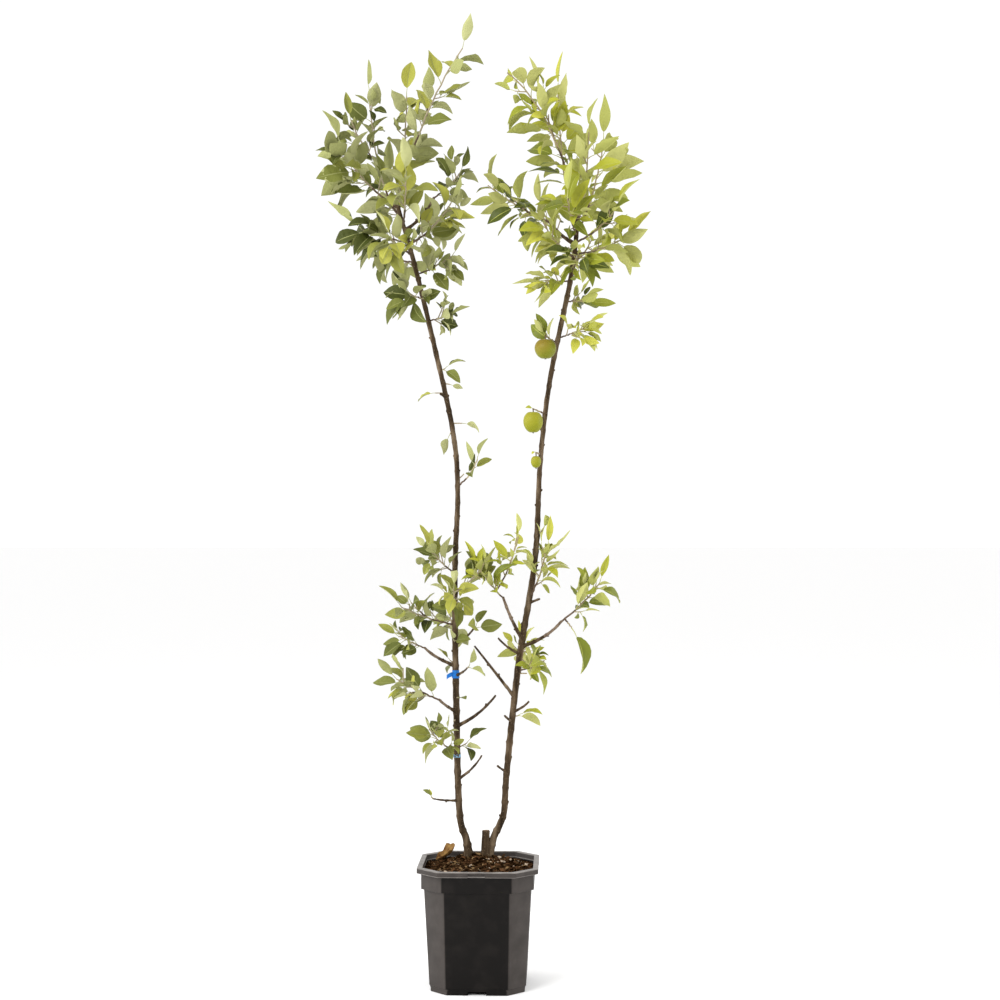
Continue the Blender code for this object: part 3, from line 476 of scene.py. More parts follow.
soil_width, soil_corner = inside(COLLAR_WIDTH, COLLAR_CORNER, POT_WALL + GAP)
soil_shape = bmesh.new()
bmesh.ops.create_grid(
    soil_shape, x_segments=SOIL_CELLS, y_segments=SOIL_CELLS, size=soil_width / 2.0
)
corner_far = (soil_width - soil_corner) / math.sqrt(2.0)
for quarter in range(4):
    corner_turn = Matrix.Rotation(math.pi / 4.0 + quarter * math.pi / 2.0, 3, "Z")
    corner_way = corner_turn @ Vector((1.0, 0.0, 0.0))
    everything = list(soil_shape.verts) + list(soil_shape.edges) + list(soil_shape.faces)
    bmesh.ops.bisect_plane(
        soil_shape, geom=everything, plane_co=corner_way * corner_far, plane_no=corner_way,
        clear_outer=True
    )
bmesh.ops.rotate(soil_shape, verts=soil_shape.verts, matrix=Matrix.Rotation(POT_TURN, 3, "Z"))
for vert in soil_shape.verts:
    vert.co.z = soil_height(vert.co.x, vert.co.y)
rim = [edge for edge in soil_shape.edges if edge.is_boundary]
wall = bmesh.ops.extrude_edge_only(soil_shape, edges=rim)["geom"]
foot = [part for part in wall if isinstance(part, bmesh.types.BMVert)]
for vert in foot:
    vert.co.z = SOIL_EDGE - SOIL_DEPTH
foot_edges = [part for part in wall if isinstance(part, bmesh.types.BMEdge)]
bmesh.ops.edgeloop_fill(soil_shape, edges=foot_edges)
bmesh.ops.recalc_face_normals(soil_shape, faces=soil_shape.faces)
compost = linked("compost", mesh_of(soil_shape, "compost"))
smooth_up_to(compost.data, 60.0)
compost.data.materials.append(peat())
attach(compost, "root")
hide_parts("soil")


def joined_mesh(name, points, faces, tones, finishes):
    """One mesh from the points and faces of many small things."""
    mesh = bpy.data.meshes.new(name)
    mesh.from_pydata(points, [], faces)
    for finish in finishes:
        mesh.materials.append(finish)
    mesh.polygons.foreach_set("material_index", tones)
    mesh.update()
    return mesh


BIT_FACES = ((0, 3, 2, 1), (4, 5, 6, 7), (0, 1, 5, 4), (1, 2, 6, 5), (2, 3, 7, 6), (3, 0, 4, 7))
bit_chance = random.Random("compost")
points, faces, tones = [], [], []
while len(points) < BIT_COUNT * 8:
    x = bit_chance.uniform(-soil_width, soil_width) / 2.0
    y = bit_chance.uniform(-soil_width, soil_width) / 2.0
    in_corner = abs(x) + abs(y) > soil_width - soil_corner - BIT_CORNER_MARGIN
    if in_corner or max(abs(x), abs(y)) > soil_width / 2.0 - BIT_SIDE_MARGIN:
        continue
    length = bit_chance.uniform(*BIT_LENGTHS) * bit_chance.uniform(*BIT_SIZE_SPREAD)
    is_fibre = bit_chance.random() < FIBRE_SHARE
    width = length * (FIBRE_WIDTH if is_fibre else bit_chance.uniform(*CHIP_WIDTHS))
    thick = width * (FIBRE_THICKNESS if is_fibre else bit_chance.uniform(*CHIP_THICKNESSES))
    turn = Matrix.Rotation(bit_chance.uniform(0.0, math.tau), 3, "Z")
    tilt = Matrix.Rotation(bit_chance.gauss(0.0, BIT_ROLL), 3, "Y")
    tilt = tilt @ Matrix.Rotation(bit_chance.gauss(0.0, BIT_TILT), 3, "X")
    centre = Vector((x, y, soil_height(x, y) + thick * BIT_SEAT + length * BIT_PERCH))
    first = len(points)
    for level in (-0.5, 0.5):
        for across, along in ((-0.5, -0.5), (0.5, -0.5), (0.5, 0.5), (-0.5, 0.5)):
            pinch = bit_chance.uniform(*BIT_PINCH)
            corner = Vector((along * length * pinch, across * width * pinch, level * thick))
            points.append(centre + turn @ (tilt @ corner))
    tone = bit_chance.choices(range(len(SOIL_TONES)), TONE_WEIGHTS)[0]
    faces.extend(tuple(first + index for index in face) for face in BIT_FACES)
    tones.extend([tone] * len(BIT_FACES))
bit_finishes = [
    new_finish(name, colour, 0.9, Specular_IOR_Level=0.0) for name, colour in SOIL_TONES
]
bits_mesh = joined_mesh("compost_bits", points, faces, tones, bit_finishes)
compost_bits = linked("compost_bits", bits_mesh)
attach(compost_bits, "root")

dry_shape = bmesh.new()
bmesh.ops.create_grid(dry_shape, x_segments=10, y_segments=6, size=0.5)
for vert in dry_shape.verts:
    t, across = vert.co.x + 0.5, vert.co.y * 2.0
    half = DRY_LEAF_SIZE[1] * max(math.sin(math.pi * (0.06 + 0.90 * t)), 0.12)
    bend = DRY_LEAF_CURL * t
    rolled = across * 1.1 + 0.5 * noise.noise(Vector((t * 4.0, across, 0.0)))
    vert.co = Vector((
        DRY_LEAF_SIZE[0] * math.sin(bend) / DRY_LEAF_CURL,
        half * math.sin(rolled),
        DRY_LEAF_SIZE[0] * (1.0 - math.cos(bend)) / DRY_LEAF_CURL + half * (1.0 - math.cos(rolled)),
    ))
bmesh.ops.solidify(dry_shape, geom=dry_shape.faces, thickness=DRY_LEAF_WALL)
dry_way = Matrix.Translation(DRY_LEAF_PLACE) @ Matrix.Rotation(DRY_LEAF_TURN, 4, "Z")
bmesh.ops.transform(dry_shape, matrix=dry_way, verts=dry_shape.verts)
bmesh.ops.recalc_face_normals(dry_shape, faces=dry_shape.faces)
dry_leaf = linked("dry_leaf", mesh_of(dry_shape, "dry_leaf"))
smooth_up_to(dry_leaf.data, 60.0)
curled = new_finish("dry_leaf", (0.20, 0.09, 0.03), 0.8)
coloured_by(curled, colours(curled, grain(curled, 130.0, 4.0), DRY_LEAF_TONES))
dry_leaf.data.materials.append(curled)
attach(dry_leaf, "root")

# The stems and boughs
# Two trained stems from one grafted foot, with the cut stub of the rootstock between them,
# short bare spurs and eight boughs. The bark is dark grey-brown, ridged a little along the
# grain, swollen at every node and dotted with pale breathing pores.
Station = namedtuple("Station", "x y height radius")
Path = namedtuple("Path", "points radii")
Limb = namedtuple("Limb", "name host start heading reach rise bend radius tip_radius")
UP = Vector((0.0, 0.0, 1.0))
LEFT_STEM = (
    Station(-0.020, 0.040, 0.248, 0.0088),
    Station(-0.027, 0.040, 0.290, 0.0074),
    Station(-0.041, 0.038, 0.348, 0.0068),
    Station(-0.047, 0.030, 0.555, 0.0065),
    Station(-0.050, 0.015, 0.830, 0.0057),
    Station(-0.044, 0.010, 1.010, 0.0051),
    Station(-0.055, 0.010, 1.140, 0.0051),
    Station(-0.100, 0.005, 1.343, 0.0049),
    Station(-0.135, 0.000, 1.485, 0.0047),
    Station(-0.172, 0.000, 1.612, 0.0040),
)
RIGHT_STEM = (
    Station(0.017, 0.045, 0.248, 0.0095),
    Station(0.029, 0.045, 0.290, 0.0075),
    Station(0.043, 0.045, 0.320, 0.0069),
    Station(0.052, 0.043, 0.350, 0.0065),
    Station(0.057, 0.038, 0.430, 0.0066),
    Station(0.082, 0.020, 0.660, 0.0065),
    Station(0.115, 0.010, 0.870, 0.0060),
    Station(0.126, 0.000, 1.075, 0.0050),
    Station(0.147, 0.000, 1.247, 0.0050),
    Station(0.189, 0.000, 1.452, 0.0050),
    Station(0.204, 0.000, 1.579, 0.0039),
)
ROOTSTOCK_STUB = (
    Station(0.012, 0.040, 0.248, 0.0090),
    Station(0.013, 0.040, 0.285, 0.0082),
    Station(0.014, 0.040, 0.307, 0.0080),
)
SPURS = (
    Limb("high_stub", "left_stem", 1.205, 225, 0.015, 0.005, 0.0, 0.0030, 0.0022),
    Limb("low_spur_a", "left_stem", 0.695, 315, 0.055, 0.035, 0.3, 0.0030, 0.0018),
    Limb("low_spur_b", "left_stem", 0.630, 300, 0.050, 0.020, 0.3, 0.0028, 0.0018),
    Limb("low_spur_c", "left_stem", 0.415, 315, 0.070, 0.055, 0.3, 0.0030, 0.0016),
    Limb("low_spur_d", "left_stem", 0.370, 215, 0.065, 0.010, 0.4, 0.0026, 0.0016),
    Limb("spur_a", "right_stem", 0.780, 310, 0.035, 0.010, 0.0, 0.0030, 0.0020),
    Limb("spur_b", "right_stem", 0.555, 310, 0.050, 0.025, 0.3, 0.0030, 0.0020),
    Limb("spur_c", "right_stem", 0.675, 215, 0.055, 0.035, 0.3, 0.0028, 0.0018),
    Limb("spur_d", "right_stem", 0.535, 245, 0.035, 0.015, 0.2, 0.0028, 0.0020),
    Limb("spur_e", "right_stem", 0.430, 230, 0.030, 0.015, 0.2, 0.0028, 0.0020),
)
BOUGHS = (
    Limb("left_bough_high", "left_stem", 1.545, 340, 0.065, 0.065, 0.4, 0.0034, 0.0024),
    Limb("left_bough_low", "left_stem", 0.650, 205, 0.070, 0.040, 0.3, 0.0036, 0.0024),
    Limb("left_bough_lowest", "left_stem", 0.555, 235, 0.060, 0.030, 0.2, 0.0036, 0.0024),
    Limb("left_bough_bare", "left_stem", 0.525, 320, 0.105, 0.070, 0.3, 0.0038, 0.0020),
    Limb("right_bough_high", "right_stem", 1.515, 200, 0.055, 0.045, 0.3, 0.0034, 0.0024),
    Limb("right_bough_low", "right_stem", 0.690, 335, 0.090, 0.055, 0.4, 0.0038, 0.0026),
    Limb("right_bough_west", "right_stem", 0.705, 235, 0.070, 0.090, 0.2, 0.0038, 0.0026),
    Limb("right_bough_bare", "right_stem", 0.585, 215, 0.100, 0.110, 0.0, 0.0036, 0.0018),
)
LIMBS = SPURS + BOUGHS
BARE_LIMBS = ("left_bough_bare", "right_bough_bare")
STEM_SIDES = 8
STEM_STEPS = 2
BOUGH_SIDES = 6
SHORT_SHOOT = 0.10
SHORT_STEPS = 3
LONG_STEPS = 5
KNEE_SHIFT = 0.4
BOUGH_OVERLAP = 0.003
MERGE_REACH = 0.00001
FINE_STEM_STEPS = 26
FINE_BOUGH_STEPS = 20
BARK_SIDES = 16
STEM_FLARE = (0.45, 0.016)
BOUGH_FLARE = (0.8, 0.006)
NODE_SPACING = 0.031
NODE_SWELL = 0.16
NODE_LENGTH = 0.0035
BARK_RELIEF = (
    (95.0, 95.0, 95.0, 0.00045),
    (420.0, 420.0, 34.0, 0.00038),
    (700.0, 700.0, 700.0, 0.00014),
)
BUD_LENGTH = 0.0052
BUD_RADII = [0.0015, 0.0017, 0.0003]
BUD_SEAT = 0.8
BUD_LEAN = 0.55
BUD_MIDDLE = 0.45
BUD_BULGE = 0.0006
BUDS_ON_STEM = (0.06, 0.96)
BUDS_ON_BOUGH = (0.25, 0.95)
STEM_BUD_TURN = 1.7
BOUGH_BUD_TURN = 0.9
GOLDEN_ANGLE = math.radians(137.5)
STUB_CUT_RISE = 0.0012
STUB_CUT_RADII = [0.0070, 0.0066]
BARK_DARK = (0.022, 0.013, 0.006)
BARK_MID = (0.062, 0.040, 0.021)
BARK_PALE = (0.195, 0.142, 0.090)
YOUNG_DARK = (0.085, 0.056, 0.038)
YOUNG_PALE = (0.240, 0.180, 0.125)
CUT_DARK = (0.070, 0.045, 0.030)
CUT_PALE = (0.230, 0.160, 0.105)
OLD_WOOD_SHARE = 0.5


def smooth_path(stations, steps):
    """Points and radii along a curve that passes through every station."""
    rows = [Vector(station) for station in stations]
    rows = [rows[0] * 2.0 - rows[1]] + rows + [rows[-1] * 2.0 - rows[-2]]
    smooth = []
    for before, here, there, after in zip(rows, rows[1:], rows[2:], rows[3:]):
        for step in range(steps):
            t = step / steps
            smooth.append(0.5 * (
                2.0 * here
                + (there - before) * t
                + (2.0 * before - 5.0 * here + 4.0 * there - after) * t ** 2
                + (3.0 * here - before - 3.0 * there + after) * t ** 3
            ))
    smooth.append(rows[-2])
    return Path([row.xyz for row in smooth], [row.w for row in smooth])


def arc_path(start, limb, radius, tip_radius, steps=None):
    """A tapering arc from a start to the limb's reach and rise."""
    heading = math.radians(limb.heading)
    out = Vector((math.cos(heading), math.sin(heading), 0.0)) * limb.reach
    lift = UP * limb.rise
    shift = KNEE_SHIFT * limb.bend
    knee = start + out * (0.5 + shift) + lift * (0.5 - shift)
    end = start + out + lift
    if not steps:
        steps = SHORT_STEPS if (out + lift).length < SHORT_SHOOT else LONG_STEPS
    shares = [step / steps for step in range(steps + 1)]
    places = [start * (1 - t) ** 2 + knee * 2 * t * (1 - t) + end * t ** 2 for t in shares]
    return Path(places, [radius + (tip_radius - radius) * t for t in shares])


def square_to(way, turn):
    """The direction square to a way, at a turn about it."""
    return Matrix.Rotation(turn, 3, way) @ way.orthogonal().normalized()


def point_at_height(path, height):
    for low, high in zip(path.points, path.points[1:]):
        if low.z <= height <= high.z:
            return low.lerp(high, (height - low.z) / (high.z - low.z))
    return path.points[-1].copy()


def point_along(path, share):
    """The place and the direction at a share of a path's length."""
    lengths = [(b - a).length for a, b in zip(path.points, path.points[1:])]
    left = min(max(share, 0.0), 0.999) * sum(lengths)
    for index, length in enumerate(lengths):
        if left <= length:
            break
        left -= length
    start, end = path.points[index:index + 2]
    return start.lerp(end, left / lengths[index]), (end - start).normalized()


def host_start(limb, paths):
    """Where a limb leaves its host: on a stem at its height, or just inside a bough's tip."""
    host = paths[limb.host]
    if limb.start:
        return point_at_height(host, limb.start)
    tip, before = host.points[-1], host.points[-2]
    return tip - (tip - before).normalized() * BOUGH_OVERLAP


def limb_mesh(name, limbs, sides, finishes):
    """Many round limbs as one mesh, each with the number of its finish."""
    curve = bpy.data.curves.new(name, "CURVE")
    curve.dimensions = "3D"
    curve.use_fill_caps = True
    curve.bevel_depth = 1.0
    curve.bevel_resolution = sides // 2 - 2
    for finish in finishes:
        curve.materials.append(finish)
    for path, finish in limbs:
        spline = curve.splines.new("POLY")
        spline.points.add(len(path.points) - 1)
        spline.material_index = finish
        for point, place, radius in zip(spline.points, path.points, path.radii):
            point.co = (*place, 1.0)
            point.radius = radius
    holder = linked(name, curve)
    mesh = finished_mesh(holder)
    bpy.data.objects.remove(holder, do_unlink=True)
    shape = shape_of(mesh)
    bmesh.ops.remove_doubles(shape, verts=shape.verts, dist=MERGE_REACH)
    bmesh.ops.recalc_face_normals(shape, faces=shape.faces)
    return put_back(shape, mesh)


def swollen(path, flare, flare_reach):
    """A limb with its nodes swollen, and its foot flared where it leaves its host."""
    run = 0.0
    radii = []
    for index, radius in enumerate(path.radii):
        if index:
            run += (path.points[index] - path.points[index - 1]).length
        off_node = (run + NODE_SPACING / 2.0) % NODE_SPACING - NODE_SPACING / 2.0
        swell = NODE_SWELL * math.exp(-(off_node / NODE_LENGTH) ** 2)
        radii.append(radius * (1.0 + swell + flare * math.exp(-run / flare_reach)))
    return Path(path.points, radii)


def buds(path, first, last, start_turn):
    """Small pointed buds at the nodes, a golden angle apart."""
    total = sum((b - a).length for a, b in zip(path.points, path.points[1:]))
    grown_buds = []
    for index in range(int(total / NODE_SPACING)):
        share = index * NODE_SPACING / total
        if not first <= share <= last:
            continue
        place, way = point_along(path, share)
        out = square_to(way, start_turn + index * GOLDEN_ANGLE)
        radius = path.radii[min(int(share * len(path.radii)), len(path.radii) - 1)]
        root = place + out * radius * BUD_SEAT
        tip = root + (out * BUD_LEAN + way).normalized() * BUD_LENGTH
        middle = root.lerp(tip, BUD_MIDDLE) + out * BUD_BULGE
        grown_buds.append((Path([root, middle, tip], BUD_RADII), 0))
    return grown_buds


def barked(mesh):
    """Gives a limb mesh the ridges and lumps of its bark."""
    shape = shape_of(mesh)
    shape.normal_update()
    moves = []
    for vert in shape.verts:
        rise = sum(
            noise.noise(Vector((vert.co.x * x, vert.co.y * y, vert.co.z * z))) * depth
            for x, y, z, depth in BARK_RELIEF
        )
        moves.append(vert.normal * rise)
    for vert, move in zip(shape.verts, moves):
        vert.co += move
    put_back(shape, mesh)
    smooth_up_to(mesh, 50.0)
    return mesh


def dots(material, scale, edges, strength):
    """Small round dots, from their strength inside the first edge to none past the last."""
    cells = add_node(material, "ShaderNodeTexVoronoi", {
        "Vector": place_on(material), "Scale": scale
    })
    stops = ((edges[0], (strength, strength, strength)), (edges[1], BLACK))
    return colours(material, cells.outputs["Distance"], stops)


def bark():
    material = new_finish("bark", BARK_MID, 0.82)
    base = colours(material, grain(material, 70.0, 6.0, (1.0, 1.0, 0.22)), (
        (0.34, BARK_DARK), (0.52, BARK_MID), (0.74, BARK_PALE)
    ))
    pores = dots(material, 210.0, (0.10, 0.22), 0.8)
    coloured_by(material, mixed(material, pores, base, BARK_PALE))
    relief(material, grain(material, 520.0, 5.0, (1.0, 1.0, 0.3)), 0.55, 0.0009)
    return material


def two_tone(name, scale, dark, pale, roughness):
    """A finish that wanders between two tones."""
    material = new_finish(name, dark, roughness)
    tones = colours(material, grain(material, scale, 4.0), ((0.32, dark), (0.70, pale)))
    coloured_by(material, tones)
    return material


def part_of(path, first, last):
    """The stretch of a path between two of its points."""
    return Path(path.points[first:last], path.radii[first:last])


bark_finish = bark()
young_bark = two_tone("young_bark", 130.0, YOUNG_DARK, YOUNG_PALE, 0.7)
cut_wood = two_tone("cut_wood", 300.0, CUT_DARK, CUT_PALE, 0.9)
paths = {}
fine_paths = {}
for name, stations in (("left_stem", LEFT_STEM), ("right_stem", RIGHT_STEM)):
    paths[name] = smooth_path(stations, STEM_STEPS)
    fine_paths[name] = smooth_path(stations, FINE_STEM_STEPS)
for limb in LIMBS:
    start = host_start(limb, paths)
    radii = (limb.radius, limb.tip_radius)
    paths[limb.name] = arc_path(start, limb, *radii)
    fine_paths[limb.name] = arc_path(start, limb, *radii, FINE_BOUGH_STEPS)
for side, name in enumerate(("left_stem", "right_stem")):
    own = [limb for limb in LIMBS if limb.host == name]
    limbs = [(swollen(fine_paths[name], *STEM_FLARE), 0)]
    for limb in own:
        whole = swollen(fine_paths[limb.name], *BOUGH_FLARE)
        if limb in SPURS or limb.name in BARE_LIMBS:
            limbs.append((whole, 0))
            continue
        change = int(len(whole.points) * OLD_WOOD_SHARE)
        limbs.append((part_of(whole, 0, change + 1), 0))
        limbs.append((part_of(whole, change, len(whole.points)), 2))
    limbs += buds(fine_paths[name], *BUDS_ON_STEM, side * STEM_BUD_TURN)
    for index, limb in enumerate(own):
        limbs += buds(fine_paths[limb.name], *BUDS_ON_BOUGH, index * BOUGH_BUD_TURN)
    if name == "right_stem":
        stub = smooth_path(ROOTSTOCK_STUB, FINE_STEM_STEPS)
        limbs.append((stub, 0))
        top = stub.points[-1]
        limbs.append((Path([top, top + UP * STUB_CUT_RISE], STUB_CUT_RADII), 1))
    mesh = barked(limb_mesh(f"{name}_bark", limbs, BARK_SIDES, [bark_finish, cut_wood, young_bark]))
    bark_piece = linked(f"{name}_bark", mesh)
    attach(bark_piece, "root")
    boughs = [limb.name for limb in own if limb in BOUGHS]
    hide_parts(name, *boughs)

# The ties
# Two ties of soft plastic tape, wound round the left stem by hand: a bright blue one with a
# loose tail, and a narrower one lower down that the sun has faded.
# Each tie's name, height up the stem, width, length of tail and colour
TIES = (
    ("blue_tape", 0.633, 0.0165, 0.017, (0.020, 0.170, 0.560)),
    ("faded_tape", 0.4635, 0.0060, 0.008, (0.230, 0.420, 0.600)),
)
TAPE_WALL = 0.0007
TAPE_SIDES = 24
TAPE_CUTS = 4
TAPE_FOOT_RADIUS = 0.0078
TAPE_TOP_RADIUS = 0.0074
TAPE_WRINKLE = 0.10
TAPE_SHADE = 0.7
TAIL_ROOT = (-0.0060, -0.0052)
TAIL_CURL = 0.0040
TAIL_DROP = 0.0060


def tape_tie(name, height, width, tail, colour):
    """A sleeve of tape round the stem, with its loose end."""
    centre = point_at_height(paths["left_stem"], height)
    shape = bmesh.new()
    bmesh.ops.create_cone(
        shape, cap_ends=False, segments=TAPE_SIDES, radius1=TAPE_FOOT_RADIUS,
        radius2=TAPE_TOP_RADIUS, depth=width
    )
    upright = [
        edge for edge in shape.edges
        if abs(edge.verts[0].co.z - edge.verts[1].co.z) > TAPE_WALL
    ]
    bmesh.ops.subdivide_edges(shape, edges=upright, cuts=TAPE_CUTS, use_grid_fill=True)
    for vert in shape.verts:
        wrinkle = noise.noise(Vector((vert.co.x * 160.0, vert.co.y * 160.0, vert.co.z * 420.0)))
        vert.co.xy *= 1.0 + TAPE_WRINKLE * wrinkle
    flap = bmesh.ops.create_grid(shape, x_segments=8, y_segments=3, size=0.5)["verts"]
    for vert in flap:
        t = vert.co.x + 0.5
        vert.co = Vector((
            TAIL_ROOT[0] - tail * 0.75 * t,
            TAIL_ROOT[1] - TAIL_CURL * math.sin(t * 3.0),
            vert.co.y * width * 0.55 - TAIL_DROP * t * t,
        ))
    bmesh.ops.recalc_face_normals(shape, faces=shape.faces)
    bmesh.ops.solidify(shape, geom=shape.faces, thickness=TAPE_WALL)
    bmesh.ops.translate(shape, verts=shape.verts, vec=centre)
    material = new_finish(name, colour, 0.35)
    shade = tuple(part * TAPE_SHADE for part in colour)
    tones = colours(material, grain(material, 240.0, 3.0), ((0.3, shade), (0.7, colour)))
    coloured_by(material, tones)
    item = linked(name, mesh_of(shape, name))
    item.data.materials.append(material)
    smooth_up_to(item.data, 50.0)
    return item


for tie in TIES:
    tape = tape_tie(*tie)
    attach(tape, "root")

# The young shoots
# This year's and last year's wood, thin and tapering, from the stems and boughs to the tips:
# brown at the foot, green and downy further out, with a stalk to each leaf. Each shoot and
# its side shoots make one mass, and finer twigs grow on them by the same rule.
Shoot = namedtuple("Shoot", "name host start heading reach rise bend bare leaves leaf_length")
LEFT_SHOOTS = (
    Shoot("left_whip", "left_stem", 1.600, 345, 0.140, 0.310, -0.3, 0.25, 11, 0.060),
    Shoot("left_leader", "left_stem", 1.585, 75, 0.050, 0.245, 0.6, 0.30, 9, 0.066),
    Shoot("left_high_west", "left_stem", 1.570, 145, 0.085, 0.270, 0.7, 0.25, 12, 0.052),
    Shoot("left_west", "left_stem", 1.590, 205, 0.125, 0.120, 0.4, 0.30, 11, 0.070),
    Shoot("left_high_east", "left_bough_high", 0.0, 350, 0.055, 0.050, 0.2, 0.10, 8, 0.052),
    Shoot("left_front", "left_stem", 1.555, 275, 0.130, 0.080, 0.5, 0.25, 11, 0.062),
    Shoot("left_back", "left_stem", 1.560, 105, 0.135, 0.115, 0.5, 0.25, 11, 0.062),
    Shoot("left_back_east", "left_stem", 1.520, 65, 0.125, 0.060, 0.4, 0.25, 10, 0.060),
    Shoot("left_mid_east", "left_stem", 1.515, 320, 0.115, 0.075, 0.4, 0.25, 10, 0.060),
    Shoot("left_mid_west", "left_stem", 1.520, 190, 0.095, 0.025, 0.3, 0.25, 10, 0.068),
    Shoot("left_front_low", "left_stem", 1.495, 250, 0.105, 0.020, 0.4, 0.25, 9, 0.060),
    Shoot("left_back_low", "left_stem", 1.480, 125, 0.110, 0.025, 0.4, 0.25, 9, 0.056),
    Shoot("left_low_east", "left_stem", 1.455, 345, 0.075, 0.035, 0.2, 0.25, 9, 0.050),
    Shoot("left_fan", "left_stem", 1.405, 235, 0.045, 0.005, 0.2, 0.55, 9, 0.062),
    Shoot("left_east_spur", "left_stem", 1.360, 355, 0.040, 0.010, 0.2, 0.35, 6, 0.040),
    Shoot("left_mid_shoot", "left_stem", 1.020, 325, 0.050, 0.055, 0.4, 0.40, 5, 0.044),
    Shoot("left_low_top", "left_stem", 0.840, 225, 0.065, 0.050, 0.2, 0.25, 10, 0.046),
    Shoot("left_low_front", "left_stem", 0.775, 270, 0.105, 0.040, 0.3, 0.30, 9, 0.046),
    Shoot("left_low_back", "left_stem", 0.715, 100, 0.085, 0.045, 0.3, 0.30, 8, 0.046),
    Shoot("left_low_inner", "left_stem", 0.805, 320, 0.070, 0.045, 0.3, 0.30, 9, 0.048),
    Shoot("left_low_far", "left_stem", 0.735, 205, 0.120, 0.040, 0.3, 0.35, 9, 0.046),
    Shoot("left_low_west", "left_bough_low", 0.0, 190, 0.055, 0.025, 0.0, 0.15, 8, 0.044),
    Shoot("left_lowest_west", "left_bough_lowest", 0.0, 195, 0.090, 0.045, 0.1, 0.10, 11, 0.050),
    Shoot("left_lowest", "left_stem", 0.470, 225, 0.080, 0.055, 0.3, 0.35, 9, 0.046),
)
RIGHT_SHOOTS = (
    Shoot("right_far", "right_stem", 1.560, 195, 0.150, 0.300, -0.6, 0.20, 14, 0.070),
    Shoot("right_top", "right_stem", 1.555, 130, 0.060, 0.285, 0.7, 0.30, 10, 0.068),
    Shoot("right_inner", "right_stem", 1.560, 290, 0.060, 0.175, 0.7, 0.30, 9, 0.062),
    Shoot("right_high_east", "right_stem", 1.540, 0, 0.055, 0.185, 0.4, 0.30, 10, 0.080),
    Shoot("right_front", "right_stem", 1.535, 260, 0.130, 0.055, 0.5, 0.25, 11, 0.062),
    Shoot("right_back", "right_stem", 1.545, 85, 0.135, 0.110, 0.5, 0.25, 11, 0.064),
    Shoot("right_back_west", "right_stem", 1.520, 125, 0.120, 0.085, 0.4, 0.25, 10, 0.062),
    Shoot("right_west", "right_bough_high", 0.0, 185, 0.130, 0.075, 0.2, 0.08, 13, 0.062),
    Shoot("right_mid_west", "right_stem", 1.490, 230, 0.100, 0.060, 0.4, 0.25, 10, 0.064),
    Shoot("right_mid_east", "right_stem", 1.520, 325, 0.095, 0.060, 0.4, 0.25, 10, 0.062),
    Shoot("right_low_east", "right_stem", 1.495, 10, 0.100, 0.035, 0.4, 0.30, 9, 0.072),
    Shoot("right_front_low", "right_stem", 1.470, 275, 0.095, 0.015, 0.3, 0.25, 9, 0.062),
    Shoot("right_back_low", "right_stem", 1.480, 70, 0.115, 0.055, 0.4, 0.25, 9, 0.062),
    Shoot("right_low_west", "right_stem", 1.440, 200, 0.055, 0.000, 0.2, 0.35, 9, 0.058),
    Shoot("right_east_spur", "right_stem", 1.400, 5, 0.035, 0.000, 0.0, 0.45, 6, 0.056),
    Shoot("right_spur", "right_stem", 1.325, 350, 0.055, 0.020, 0.2, 0.45, 7, 0.062),
    Shoot("right_apple_high", "right_stem", 1.315, 235, 0.045, 0.012, 0.3, 0.30, 5, 0.044),
    Shoot("right_apple_mid", "right_stem", 1.170, 230, 0.040, 0.008, 0.2, 0.60, 1, 0.020),
    Shoot("right_apple_low", "right_stem", 1.085, 250, 0.032, 0.004, 0.0, 0.60, 1, 0.016),
    Shoot("right_shoot_top", "right_stem", 0.785, 320, 0.050, 0.110, 0.2, 0.35, 10, 0.054),
    Shoot("right_shoot_far", "right_bough_low", 0.0, 0, 0.080, 0.080, 0.2, 0.25, 10, 0.054),
    Shoot("right_shoot_west", "right_bough_west", 0.0, 190, 0.055, 0.065, 0.1, 0.10, 10, 0.050),
    Shoot("right_shoot_hanging", "right_stem", 0.640, 320, 0.070, 0.025, 0.4, 0.40, 6, 0.054),
    Shoot("right_shoot_back", "right_stem", 0.660, 80, 0.075, 0.030, 0.3, 0.35, 8, 0.048),
)
SHOOTS = LEFT_SHOOTS + RIGHT_SHOOTS
Fork = namedtuple("Fork", "mass share heading reach rise bend leaves leaf_length")
FORKS = (
    Fork("left_high_west", 0.45, 200, 0.060, 0.090, 0.3, 6, 0.052),
    Fork("left_west", 0.45, 150, 0.050, 0.060, 0.2, 4, 0.060),
    Fork("left_whip", 0.55, 90, 0.040, 0.050, 0.2, 3, 0.048),
    Fork("right_far", 0.45, 170, 0.040, 0.120, 0.1, 6, 0.062),
    Fork("right_west", 0.45, 250, 0.045, 0.010, 0.2, 4, 0.058),
    Fork("right_shoot_far", 0.10, 325, 0.016, -0.018, 0.0, 1, 0.074),
    Fork("right_shoot_west", 0.25, 350, 0.045, 0.110, 0.3, 6, 0.044),
    Fork("left_low_far", 0.50, 150, 0.040, 0.030, 0.2, 4, 0.044),
    Fork("left_lowest_west", 0.45, 240, 0.040, 0.000, 0.2, 4, 0.046),
)
